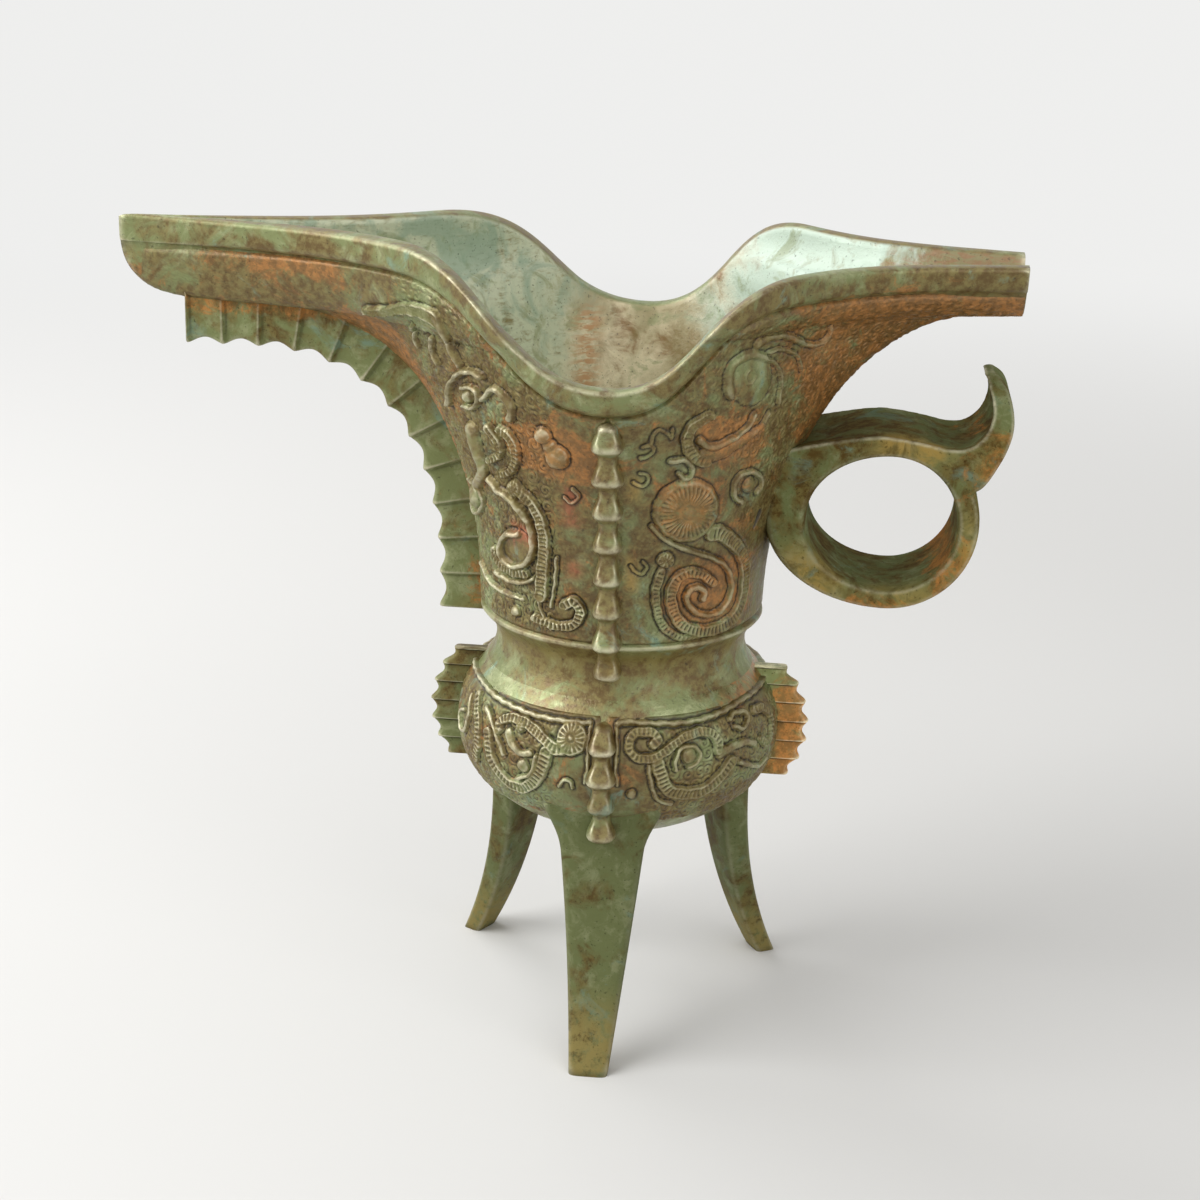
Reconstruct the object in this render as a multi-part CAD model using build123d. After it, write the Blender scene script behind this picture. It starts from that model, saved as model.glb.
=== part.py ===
from build123d import *
import os
from math import cos, hypot, pi, radians, sin

# Bronze jue vessel. Millimetres, +Z up, +X towards the tail, the spout along -X.
# The origin is on the vessel's axis, at the level that the three feet stand on.

# Cup
cup_radius = 25.4            # outside of the round cup at its lower border line
border_height = 76.0         # border line of the cup above the feet
wall = 2.6                   # thickness of the cast wall
saddle_height = 124.6        # lowest point of the rim, at the front and the rear
saddle_half_width = 37.4     # outside of the mouth across the saddle, from the axis
saddle_to_spout = 38.0       # axis to where the rim levels out towards the spout
saddle_to_tail = 30.0        # axis to where the rim levels out towards the tail
flare_power = 1.5            # how late the front wall flares
rim_flare = 0.5              # share of that flare's slope kept above the saddle

# Spout
spout_reach = 92.0           # axis to the tip
spout_rim_height = 143.4     # rim along the spout
spout_floor = 129.0          # underside of the spout
spout_bend = 70.0            # axis to where the underside turns level
spout_power = 2.4            # squareness of that bend
spout_taper = 36.0           # axis to where the mouth has narrowed to half
spout_taper_power = 3.3
spout_tip_wall = 9.0         # solid metal behind the tip
keel_margin = 0.3            # width left on the spout's underside beside the comb, each side

# Tail
tail_reach = 68.0            # axis to the squared end
tail_rim_height = 142.4
tail_floor = 133.0
tail_bend = 64.0
tail_power = 2.1
tail_taper = 31.5
tail_taper_power = 4.2
tail_end_share = 0.19        # width kept at the tail's end, as a share of the flared width
tail_run_out = 20.0          # extra length that the squared end cuts away

prow_power = 3.5             # squareness of the upturn at either end
lip_height = 4.8             # raised plain band below the rim
lip_proud = 1.1              # how far the band stands out

# Neck and belly
neck_radius = 22.1           # waist between the cup and the belly
neck_height = 66.0
border_bead = 0.5            # radius of the bead on the border line
belly_radius = 29.4
belly_middle = 54.0          # height of the widest level
belly_floor = 34.5           # underside of the belly on the axis
belly_power = 2.1            # squareness of the belly's profile
spigot_depth = 3.0           # cup's spigot in the belly's mouth
braze_gap = 0.1              # room for the braze round the spigot

# Legs
leg_root_radius = 22.6       # axis to the middle of a leg inside the belly
leg_root_height = 47.0
leg_bend_power = 2.4         # how late a leg kicks out
front_leg_direction = -90.0  # degrees from the tail
rear_leg_directions = {"leg_rear_spout": 150.0, "leg_rear_tail": 30.0}
front_foot_radius = 37.6     # axis to the middle of the foot
front_root_width = 17.0      # across the leg
front_foot_width = 7.0
front_root_depth = 8.0       # along the radius
front_foot_depth = 4.2
rear_foot_radius = 32.6
rear_root_width = 13.4
rear_foot_width = 6.0
rear_root_depth = 6.8
rear_foot_depth = 4.0

# Handle
ring_radius = 15.8           # outside of the finger ring
finger_hole_radius = 12.2
ring_to_axis = 47.3          # vessel axis to the ring's centre
ring_height = 96.8
handle_width = 22.0
hook_radius = 10.3           # outside of the thumb rest
hook_scoop_radius = 7.8      # its hollow inner side
hook_to_ring = 10.0          # ring centre to hook centre, towards the tail
hook_above_ring = 18.7
hook_scoop_rise = 2.8        # how far the hollow's centre stands above the hook's
hook_tip_above_ring = 25.8
hook_tip_width = 9.0
hook_lead = 4.0              # how far the scoop runs back over the ring
handle_pad_low = 88.5        # pad between the ring and the cup
handle_pad_high = 110.5

# Flanges
seat_depth = 0.8             # how deep a piece is let into the wall that carries it
comb_thickness = 3.0
comb_root = 1.6              # how far a comb's plate runs in behind the wall's face
comb_scallop = 1.1           # hollow of each scallop in a comb's edge
spout_comb_depth = 8.4
spout_comb_teeth = 12
spout_comb_low = 73.6        # lower end of the comb
spout_comb_end = 80.0        # axis to the comb's end under the spout
belly_comb_depth = 6.0
belly_comb_teeth = 6
belly_comb_low = 44.5
belly_comb_high = 65.4
bead_width = 4.6             # across a beaded rib at a bulge
bead_neck_width = 3.0
bead_depth = 3.6             # how far a bulge stands out of the wall
bead_neck_depth = 2.5
cup_rib_low = 69.5
cup_rib_high = 118.6
cup_rib_beads = 8
belly_rib_low = 39.8
belly_rib_high = 63.0
belly_rib_beads = 4

# Scroll relief. Each scroll has its place across, its height above the border line
# or above the belly's middle, and its radius.
relief = 1.1                 # height of the scrolls above the wall
scroll_band = 2.6            # width of a scroll's ribbon
scroll_step = 2.5            # how much each half turn of a scroll draws in
scroll_eye = 0.3             # least radius left open in the middle of a scroll
tail_low_scroll = (15.4, 10.3, 7.9)
tail_boss = (12.6, 25.2, 6.0)
tail_crest = (17.0, 40.0, 4.6)
tail_top = (21.5, 47.8, 4.0)
tail_ribbon = (215.0, 42.0)  # angles where the ribbon leaves the boss and joins the low scroll
tail_stem = (54.0, 236.0)    # angles where the stem leaves the boss and joins the crest
spout_low_scroll = (-16.0, 15.8, 7.6)
spout_middle_scroll = (-17.5, 30.0, 4.6)
spout_crest = (-22.5, 41.5, 4.4)
spout_top = (-31.0, 50.5, 3.6)
spout_stem = 66.0            # angle where the stem leaves the low scroll
belly_body_scroll = (15.0, -1.0, 7.0)
belly_head_scroll = (7.4, 3.5, 3.6)
belly_neck = (34.0, 112.0)   # angles where the neck leaves the head and joins the body

# Shape of the cup's plan
pinch_power = 4              # how late the plan draws in to the spout and the tail
round_power = 2              # plan of the lower cup
prow_fullness = 4            # how much fuller the plan's ends are at the rim
keel_power = 8               # how square the end of the spout's underside is

section_points = 15          # points on a quarter of a cup section
level_steps = 9              # sections of the cup below the spout's floor
prow_steps = 5               # sections above it
path_step = 0.005            # fine step along a comb
comb_climb_share = 0.78      # part of the spout's comb that climbs the cup
reach_out = 4 * spout_reach  # longer than anything that it cuts


def share_of(value):
    """The value held between nought and one."""
    return min(max(value, 0.0), 1.0)


def end_run(z, bend, floor, power, reach, rim):
    """Distance from the axis to the wall under the spout or the tail at height z."""
    rise = share_of((z - border_height) / (floor - border_height))
    if z < floor:
        return bend - (bend - cup_radius) * (1 - rise**power) ** (1 / power)
    lift = share_of((z - floor) / (rim - floor))
    return bend + (reach - bend) * (1 - (1 - lift) ** prow_power) ** (1 / prow_power)


def spout_run(z):
    return end_run(z, spout_bend, spout_floor, spout_power, spout_reach, spout_rim_height)


def tail_run(z):
    return end_run(z, tail_bend, tail_floor, tail_power, tail_reach + tail_run_out, tail_rim_height)


def front_run(z):
    """Distance from the axis to the front wall at height z."""
    rise = max(z - border_height, 0.0) / (saddle_height - border_height)
    flare = rise**flare_power if rise < 1 else 1 + rim_flare * flare_power * (rise - 1)
    return cup_radius + (saddle_half_width - cup_radius) * flare


def half_width(z, share, run, floor, rim, taper, taper_power, end_share, keel):
    """Half the cup's width at height z, at a share of the run from the axis to the end."""
    along = share * run
    pinch = share_of((z - border_height) / (floor - border_height)) ** pinch_power
    lift = share_of((z - floor) / (rim - floor))
    bell = 1 / (1 + pinch * (along / taper) ** taper_power)
    bell += end_share * pinch * (1 - bell)
    plan = (1 - share ** (round_power + prow_fullness * lift)) ** ((1 + pinch) / 2)
    blunt = pinch * (1 - lift) * (1 - bell) * (1 - share**keel_power) ** 0.5
    return front_run(z) * bell * plan + keel * blunt


def grown(width, grow):
    return width + grow if grow >= 0 else width * width / (width - grow)


def quarter(z, grow, tip, side):
    """Points from the end of the spout (side -1) or tail (side 1) to the front of the cup."""
    if side < 0:
        run = spout_run(z)
        keel = comb_thickness / 2 + keel_margin
        shape = (run, spout_floor, spout_rim_height, spout_taper, spout_taper_power, 0.0, keel)
    else:
        run = tail_run(z)
        shape = (run, tail_floor, tail_rim_height, tail_taper, tail_taper_power, tail_end_share, 0.0)
    points = []
    for i in range(section_points):
        share = cos(pi / 2 * i / (section_points - 1))
        width = half_width(z, share, *shape)
        points.append((side * share * (run + tip), -grown(width, grow) if i else 0.0))
    return points


def cup_section(z, grow, lift):
    """Closed outline of the cup at height z, grown outwards and lifted."""
    above = share_of((z - spout_floor) / (spout_rim_height - spout_floor))
    tip_at_rim = -spout_tip_wall if lift > 0 else 0.0
    spout_side = quarter(z, grow, grow + (tip_at_rim - grow) * above, -1)
    tail_side = quarter(z, grow, grow, 1)
    edges = []
    for turn in (1, -1):
        edges.append(Spline(*[(x, turn * y) for x, y in spout_side]))
        edges.append(Spline(*[(x, turn * y) for x, y in tail_side]))
    return Pos(0, 0, z + lift) * make_face(edges)


def cup_levels():
    low = [border_height + (spout_floor - border_height) * sin(pi / 2 * i / level_steps) ** (2 / spout_power)
           for i in range(level_steps + 1)]
    top = max(spout_rim_height, tail_rim_height) + lip_height
    high = [spout_floor + (top - spout_floor) * (i / prow_steps) ** 2 for i in range(1, prow_steps + 1)]
    return low + high


def cup_solid(grow=0.0, lift=0.0):
    """The cup as a filled form, from the border line to above the rim."""
    return loft([cup_section(z, grow, lift) for z in cup_levels()], ruled=True)


def above_rim(drop):
    """Everything above the rim line lowered by drop."""
    left = -2 * spout_reach
    right = 2 * tail_reach
    top = 2 * spout_rim_height
    spout_end = (-saddle_to_spout, spout_rim_height - drop)
    saddle = (0.0, saddle_height - drop)
    tail_end = (saddle_to_tail, tail_rim_height - drop)
    outline = [
        Line((left, spout_end[1]), spout_end),
        Bezier(spout_end, (-saddle_to_spout / 2, spout_end[1]), (-saddle_to_spout / 2, saddle[1]), saddle),
        Bezier(saddle, (saddle_to_tail / 2, saddle[1]), (saddle_to_tail / 2, tail_end[1]), tail_end),
        Line(tail_end, (right, tail_end[1])),
        Polyline((right, tail_end[1]), (right, top), (left, top), (left, spout_end[1])),
    ]
    return extrude(Plane.XZ * make_face(outline), amount=reach_out, both=True)


def front_path(z):
    """Front wall of the cup, and of the neck below it."""
    if z >= border_height:
        return front_run(z)
    rise = (z - neck_height) / (border_height - neck_height)
    return neck_radius + (cup_radius - neck_radius) * rise


def belly_profile(z, inset=0.0):
    """Radius of the belly at height z, inset from its outside."""
    height = belly_height(z) - inset
    share = share_of(abs(z - belly_middle) / height)
    return (belly_radius - inset) * (1 - share**belly_power) ** (1 / belly_power)


def belly_height(z):
    """Half height of the belly's profile: its upper half is cut short by the neck."""
    if z <= belly_middle:
        return belly_middle - belly_floor
    return (neck_height - belly_middle) / (1 - (neck_radius / belly_radius) ** belly_power) ** (1 / belly_power)


def belly_solid(inset=0.0):
    """The belly as a filled form up to the neck."""
    low = belly_floor + inset
    points = []
    for i in range(2 * section_points):
        share = i / (2 * section_points - 1)
        z = low + (neck_height - low) * (1 - cos(pi * share / 2))
        points.append((belly_profile(z, inset), z))
    points[0] = (0.0, low)
    outline = [Spline(*points), Polyline(points[-1], (0.0, neck_height), points[0])]
    return revolve(Plane.XZ * make_face(outline), Axis.Z)


def neck_solid():
    """Concave neck below the border line, with the bead and the spigot."""
    spigot_radius = neck_radius - wall / 2 - braze_gap
    foot = neck_height - spigot_depth
    waist = (neck_radius, neck_height)
    under_bead = (cup_radius, border_height - border_bead)
    hollow = (neck_radius + (cup_radius - neck_radius) / 4, (waist[1] + under_bead[1]) / 2)
    over_bead = (cup_radius, border_height + border_bead)
    outline = [
        Polyline((0, foot), (spigot_radius, foot), (spigot_radius, neck_height), waist),
        ThreePointArc(waist, hollow, under_bead),
        ThreePointArc(under_bead, (cup_radius + border_bead, border_height), over_bead),
        Polyline(over_bead, (0, over_bead[1]), (0, foot)),
    ]
    return revolve(Plane.XZ * make_face(outline), Axis.Z)


def neck_bore():
    """Round way through the neck, from inside the belly to inside the cup."""
    return Pos(0, 0, belly_middle) * Cylinder(neck_radius - wall, border_height + wall - belly_middle,
                                              align=(Align.CENTER, Align.CENTER, Align.MIN))


def make_cup(form, neck, pieces):
    """Cup wall with its lip, hollowed out, with a shallow seat for each piece let into it."""
    squared_end = Pos(tail_reach, 0, 0) * Box(reach_out, reach_out, reach_out,
                                              align=(Align.MIN, Align.CENTER, Align.CENTER))
    body = form - above_rim(lip_height)
    lip = (cup_solid(lip_proud) & above_rim(lip_height)) - above_rim(0)
    cup = body + lip + neck - squared_end
    cup = cup - cup_solid(-wall, wall) - neck_bore()
    for piece in pieces:
        cup = cup - piece
    return cup


def make_belly(form, pieces):
    """Belly wall with a socket for the spigot and a shallow seat for each piece let into it."""
    socket_depth = spigot_depth + braze_gap
    socket = Pos(0, 0, neck_height) * Cylinder(neck_radius - wall / 2, socket_depth,
                                               align=(Align.CENTER, Align.CENTER, Align.MAX))
    bowl = form - belly_solid(wall) - socket - neck_bore()
    for piece in pieces:
        bowl = bowl - piece
    return bowl


def leg_radius(share, foot_radius):
    """Axis to the middle of a leg at a share of its height."""
    return leg_root_radius + (foot_radius - leg_root_radius) * (1 - share) ** leg_bend_power


def make_leg(direction, foot_radius, root_size, foot_size, seat):
    """Blade of rectangular section that kicks out to its foot."""
    sections = []
    for i in range(level_steps):
        share = i / (level_steps - 1)
        depth, width = [foot + (root - foot) * share for root, foot in zip(root_size, foot_size)]
        place = Pos(leg_radius(share, foot_radius), 0, share * leg_root_height)
        sections.append(place * Rectangle(depth, width))
    return Rot(0, 0, direction) * loft(sections) - seat


def front_belly_path(z):
    """Front of the belly, and of the front leg where that stands further out."""
    share = z / leg_root_height
    depth = front_foot_depth + (front_root_depth - front_foot_depth) * share
    leg_face = leg_radius(min(share, 1), front_foot_radius) + depth / 2
    return max(belly_profile(z), leg_face) if share < 1 else belly_profile(z)


def make_handle(seat):
    """Finger ring with a pad to the cup and a scooped thumb rest that narrows to its tip."""
    centre = Pos(ring_to_axis, ring_height)
    hook_x = ring_to_axis + hook_to_ring
    hook_z = ring_height + hook_above_ring
    tip_z = ring_height + hook_tip_above_ring
    scoop = Pos(hook_x, hook_z + hook_scoop_rise) * Circle(hook_scoop_radius)
    crescent = Pos(hook_x, hook_z) * Circle(hook_radius) - scoop
    keep = Pos(hook_x - hook_lead, tip_z) * Rectangle(
        hook_lead + hook_radius, tip_z - ring_height, align=(Align.MIN, Align.MAX))
    pad = Pos(ring_to_axis, handle_pad_low) * Rectangle(
        ring_to_axis, handle_pad_high - handle_pad_low, align=(Align.MAX, Align.MIN))
    outline = centre * Circle(ring_radius) + (crescent & keep) + pad
    outline = outline - centre * Circle(finger_hole_radius)
    strap = extrude(Plane.XZ * outline, amount=handle_width / 2, both=True)
    return (strap & hook_taper()) - seat


def hook_taper():
    """Full width up to the ring's top, then narrowing to the tip of the thumb rest."""
    shoulder = ring_height + finger_hole_radius
    tip = ring_height + hook_tip_above_ring
    outline = Polyline((-handle_width / 2, 0), (handle_width / 2, 0), (handle_width / 2, shoulder),
                       (hook_tip_width / 2, tip), (-hook_tip_width / 2, tip), (-handle_width / 2, shoulder),
                       (-handle_width / 2, 0))
    return extrude(Plane.YZ * make_face(outline), amount=reach_out)


def spout_comb_line(share):
    """Root and tip of the comb under the spout, from its lower end to its outer end."""
    bend = spout_run_line(share)
    ahead = spout_run_line(share + path_step)
    along = (ahead[0] - bend[0], ahead[1] - bend[1])
    size = hypot(*along)
    out = (along[1] / size, -along[0] / size)
    root = (bend[0] - comb_root * out[0], bend[1] - comb_root * out[1])
    return root, (bend[0] + spout_comb_depth * out[0], bend[1] + spout_comb_depth * out[1])


def spout_run_line(share):
    """Outline under the spout: up the cup for the first part, then level to the comb's end."""
    if share <= comb_climb_share:
        z = spout_comb_low + (spout_floor - spout_comb_low) * sin(pi / 2 * share / comb_climb_share)
        return (spout_run(max(z, border_height)), z)
    level = (share - comb_climb_share) / (1 - comb_climb_share)
    return (spout_bend + (spout_comb_end - spout_bend) * level, spout_floor)


def belly_comb_line(share):
    """Root and tip of a belly comb, straight out from the belly."""
    z = belly_comb_low + (belly_comb_high - belly_comb_low) * share
    radius = belly_profile(z)
    return (radius - comb_root, z), (radius + belly_comb_depth, z)


def even_shares(line, count):
    """Shares along a comb that space its edge evenly."""
    fine = [i * path_step for i in range(round(1 / path_step) + 1)]
    tips = [line(share)[1] for share in fine]
    run = [0.0]
    for before, after in zip(tips, tips[1:]):
        run.append(run[-1] + hypot(after[0] - before[0], after[1] - before[1]))
    wanted = [run[-1] * i / count for i in range(count + 1)]
    return [fine[min(range(len(run)), key=lambda k: abs(run[k] - length))] for length in wanted]


def make_comb(line, teeth):
    """Scalloped plate in the plane of the spout and the tail."""
    stations = [line(share) for share in even_shares(line, 2 * teeth)]
    edges = []
    for i in range(0, 2 * teeth, 2):
        root, tip = stations[i + 1]
        pull = comb_scallop / hypot(tip[0] - root[0], tip[1] - root[1])
        hollow = (tip[0] + pull * (root[0] - tip[0]), tip[1] + pull * (root[1] - tip[1]))
        edges.append(ThreePointArc(stations[i][1], hollow, stations[i + 2][1]))
    roots = [root for root, tip in stations]
    edges.append(Polyline(stations[-1][1], *reversed(roots), stations[0][1]))
    return extrude(Plane.XZ * make_face(edges), amount=comb_thickness / 2, both=True)


def make_rib(path, low, high, beads):
    """Chain of beads standing on the front wall, drawn in between one bead and the next."""
    sections = []
    count = 2 * beads
    for i in range(count + 1):
        z = low + (high - low) * i / count
        bulge = i % 2
        width = bead_width if bulge else bead_neck_width
        depth = wall + (bead_depth if bulge else bead_neck_depth)
        place = Pos(0, wall - path(z), z)
        sections.append(place * Rectangle(width, depth, align=(Align.CENTER, Align.MAX)))
    return loft(sections, ruled=True)


def spiral(scroll, half_turns, start_up, hand):
    """Ribbon of half turns that draws in from its outer radius."""
    centre, z, radius = scroll
    ribbon = None
    size = radius - scroll_band / 2
    up = start_up
    for i in range(half_turns):
        ring = Circle(size + scroll_band / 2) - Circle(max(size - scroll_band / 2, scroll_eye))
        half = Rectangle(4 * radius, 2 * radius, align=(Align.CENTER, Align.MIN if up else Align.MAX))
        arc = Pos(centre, z) * (ring & half)
        ribbon = arc if ribbon is None else ribbon + arc
        size -= scroll_step / 2
        centre += hand * scroll_step / 2 * (1 if i % 2 == 0 else -1)
        up = not up
    return ribbon


def above(base, scroll):
    """The scroll with its height counted from the feet."""
    return scroll[0], base + scroll[1], scroll[2]


def rim_point(scroll, angle):
    """Middle of the scroll's outer ribbon in a direction given in degrees."""
    reach = scroll[2] - scroll_band / 2
    return scroll[0] + reach * cos(radians(angle)), scroll[1] + reach * sin(radians(angle))


def bar(start, end):
    """Straight ribbon from one point to another."""
    run = Vector(end[0] - start[0], end[1] - start[1], 0)
    turn = run.get_signed_angle(Vector(1, 0, 0), Vector(0, 0, -1))
    middle = ((start[0] + end[0]) / 2, (start[1] + end[1]) / 2)
    return Pos(*middle) * Rot(0, 0, turn) * Rectangle(run.length, scroll_band)


def on_front(sketch, carrier, form):
    """The sketch raised from the front wall of a filled form."""
    return (extrude(Plane.XZ * sketch, amount=reach_out) & form) - carrier


def cup_scroll_tail():
    """Double scroll with a crest above it, beside the front rib on the tail side."""
    low = above(border_height, tail_low_scroll)
    boss = above(border_height, tail_boss)
    crest = above(border_height, tail_crest)
    top = above(border_height, tail_top)
    sketch = spiral(low, 4, False, 1) + spiral(boss, 4, True, 1)
    sketch += spiral(crest, 2, False, -1) + spiral(top, 2, True, 1)
    sketch += bar(rim_point(boss, tail_ribbon[0]), rim_point(low, tail_ribbon[1]))
    sketch += bar(rim_point(boss, tail_stem[0]), rim_point(crest, tail_stem[1]))
    return sketch + bar(crest[:2], top[:2])


def cup_scroll_spout():
    """Single scroll with crests that climb towards the spout."""
    low = above(border_height, spout_low_scroll)
    middle = above(border_height, spout_middle_scroll)
    crest = above(border_height, spout_crest)
    top = above(border_height, spout_top)
    sketch = spiral(low, 4, False, -1) + spiral(middle, 3, True, 1)
    sketch += spiral(crest, 2, False, 1) + spiral(top, 2, True, -1)
    sketch += bar(rim_point(low, spout_stem), middle[:2]) + bar(middle[:2], crest[:2])
    return sketch + bar(crest[:2], top[:2])


def belly_scroll():
    """Curled body with a round head beside the front rib on the tail side."""
    body = above(belly_middle, belly_body_scroll)
    head = above(belly_middle, belly_head_scroll)
    sketch = spiral(body, 4, False, 1) + spiral(head, 2, True, -1)
    return sketch + bar(rim_point(head, belly_neck[0]), rim_point(body, belly_neck[1]))


def both_sides(name, piece):
    """The piece at the front of the vessel and its mirror image at the rear."""
    return {name.format("front"): piece, name.format("rear"): mirror(piece, about=Plane.XZ)}


cup_form = cup_solid()
cup_seat = cup_solid(-seat_depth)
belly_form = belly_solid()
belly_seat = belly_solid(seat_depth)
neck_form = neck_solid()

front_root = (front_root_depth, front_root_width)
front_foot = (front_foot_depth, front_foot_width)
rear_root = (rear_root_depth, rear_root_width)
rear_foot = (rear_foot_depth, rear_foot_width)
front_leg = make_leg(front_leg_direction, front_foot_radius, front_root, front_foot, belly_seat)
handle = make_handle(cup_seat)
spout_comb = mirror(make_comb(spout_comb_line, spout_comb_teeth), about=Plane.YZ)
cup_rib = make_rib(front_path, cup_rib_low, cup_rib_high, cup_rib_beads) - cup_seat - neck_form
front_rib = make_rib(front_belly_path, belly_rib_low, belly_rib_high, belly_rib_beads)
rear_rib = make_rib(belly_profile, belly_rib_low, belly_rib_high, belly_rib_beads)
belly_comb = make_comb(belly_comb_line, belly_comb_teeth) - belly_seat - neck_form

cup_pieces = {"handle": handle, "spout_flange": spout_comb - cup_seat - neck_form}
cup_pieces |= both_sides("cup_flange_{}", cup_rib)
belly_pieces = {"leg_front": front_leg}
for name, direction in rear_leg_directions.items():
    belly_pieces[name] = make_leg(direction, rear_foot_radius, rear_root, rear_foot, belly_seat)
belly_pieces["belly_flange_front"] = front_rib - belly_seat - front_leg
belly_pieces["belly_flange_rear"] = mirror(rear_rib - belly_seat, about=Plane.XZ)
belly_pieces["belly_flange_spout"] = mirror(belly_comb, about=Plane.YZ)
belly_pieces["belly_flange_tail"] = belly_comb

cup_raised = cup_solid(relief) - above_rim(lip_height)
belly_raised = belly_solid(-relief)
scrolls = both_sides("cup_scroll_{}_tail", on_front(cup_scroll_tail(), cup_form, cup_raised))
scrolls |= both_sides("cup_scroll_{}_spout", on_front(cup_scroll_spout(), cup_form, cup_raised))
belly_curl = on_front(belly_scroll(), belly_form, belly_raised)
scrolls |= both_sides("belly_scroll_{}_tail", belly_curl)
scrolls |= both_sides("belly_scroll_{}_spout", mirror(belly_curl, about=Plane.YZ))

nodes = {"cup_shell": make_cup(cup_form, neck_form, cup_pieces.values())}
nodes["belly_bowl"] = make_belly(belly_form, belly_pieces.values())
nodes |= cup_pieces | belly_pieces | scrolls

os.makedirs("parts", exist_ok=True)
for name, shape in nodes.items():
    export_step(shape, f"parts/{name}.step")
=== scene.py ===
import math
import bpy
import bmesh
import numpy as np
from functools import reduce
from mathutils import Matrix, Vector


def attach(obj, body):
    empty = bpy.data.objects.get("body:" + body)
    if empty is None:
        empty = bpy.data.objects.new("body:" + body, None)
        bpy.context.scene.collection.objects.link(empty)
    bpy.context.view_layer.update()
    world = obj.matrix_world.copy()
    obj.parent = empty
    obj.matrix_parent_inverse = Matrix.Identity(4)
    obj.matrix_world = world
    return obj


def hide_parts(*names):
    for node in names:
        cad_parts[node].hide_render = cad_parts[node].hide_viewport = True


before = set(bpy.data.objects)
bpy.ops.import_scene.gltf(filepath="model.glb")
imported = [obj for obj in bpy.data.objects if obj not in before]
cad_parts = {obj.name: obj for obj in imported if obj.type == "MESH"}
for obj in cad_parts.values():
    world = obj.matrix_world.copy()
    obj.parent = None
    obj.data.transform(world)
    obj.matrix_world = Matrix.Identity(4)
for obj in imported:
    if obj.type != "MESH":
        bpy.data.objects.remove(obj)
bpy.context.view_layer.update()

mm = 0.001
print("frame loaded:", len(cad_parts), "nodes")

# the cup's form, in millimetres
cup = dict(radius=25.4, border=76.0, wall=2.6, saddle=124.6, saddleHalf=37.4, toSpout=38.0, toTail=30.0,
           flarePower=1.5, rimFlare=0.5, lipHeight=4.8, lipProud=1.1, prow=3.5, pinch=4, roundPower=2,
           prowFull=4, keelPower=8, neck=24.4, neckHeight=66.0, neckTop=75.5, waist=22.8, waistHeight=70.6,
           tuck=24.7, tuckHeight=65.5, spigot=20.7, spigotFoot=63.1, bore=19.5)
spoutEnd = dict(reach=92.0, rim=143.4, floor=129.0, bend=70.0, power=2.4, taper=36.0, taperPower=3.3,
                share=0.0, keel=1.8, tipWall=9.0)
tailEnd = dict(reach=88.0, rim=142.4, floor=133.0, bend=64.0, power=2.1, taper=31.5, taperPower=4.2,
               share=0.19, keel=0.0)
tailCut = 68.0  # squared end of the tail
wallGrid = dict(levels=300, near=120, nearest=1e-4, farthest=14, climbPower=2.4, bendFrom=0.45, bendOver=0.55)


def clip01(a):
    return np.clip(a, 0.0, 1.0)


def smooth01(a):
    a = clip01(a)
    return a * a * (3 - 2 * a)


def endRun(z, end):
    rise = clip01((z - cup["border"]) / (end["floor"] - cup["border"]))
    under = end["bend"] - (end["bend"] - cup["radius"]) * (1 - rise ** end["power"]) ** (1 / end["power"])
    lift = clip01((z - end["floor"]) / (end["rim"] - end["floor"]))
    over = end["bend"] + (end["reach"] - end["bend"]) * (1 - (1 - lift) ** cup["prow"]) ** (1 / cup["prow"])
    return np.where(z < end["floor"], under, over)


def frontRun(z):
    power = cup["flarePower"]
    rise = np.maximum(z - cup["border"], 0) / (cup["saddle"] - cup["border"])
    flare = np.where(rise < 1, rise ** power, 1 + cup["rimFlare"] * power * (rise - 1))
    return cup["radius"] + (cup["saddleHalf"] - cup["radius"]) * flare


# endRun averaged over a few millimetres of height, so that the wall has no step at the floor's level
def wideRun(z, end, over=4):
    levels = np.linspace(60, 160, 2001)
    total = np.cumsum(endRun(levels, end)) * (levels[1] - levels[0])
    return (np.interp(z + over, levels, total) - np.interp(z - over, levels, total)) / (2 * over)


def halfWidth(z, share, end):
    run = endRun(z, end)
    along = share * run
    wide = share * (run / wideRun(z, end)) ** (1 - share)
    pinch = clip01((z - cup["border"]) / (end["floor"] - cup["border"])) ** cup["pinch"]
    lift = clip01((z - end["floor"]) / (end["rim"] - end["floor"]))
    bell = 1 / (1 + pinch * (along / end["taper"]) ** end["taperPower"])
    bell = bell + end["share"] * pinch * (1 - bell)
    plan = np.maximum(1 - wide ** (cup["roundPower"] + cup["prowFull"] * lift), 0) ** ((1 + pinch) / 2)
    blunt = pinch * (1 - lift) * (1 - bell) * np.maximum(1 - share ** cup["keelPower"], 0) ** 0.5
    return frontRun(z) * bell * plan + end["keel"] * blunt


def runOf(z, end, grow, lift):
    above = clip01((z - end["floor"]) / (end["rim"] - end["floor"]))
    if end is tailEnd:
        return endRun(z, end) + grow
    atRim = -end["tipWall"] if lift > 0 else 0.0
    return endRun(z, end) + grow + (atRim - grow) * above


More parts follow.
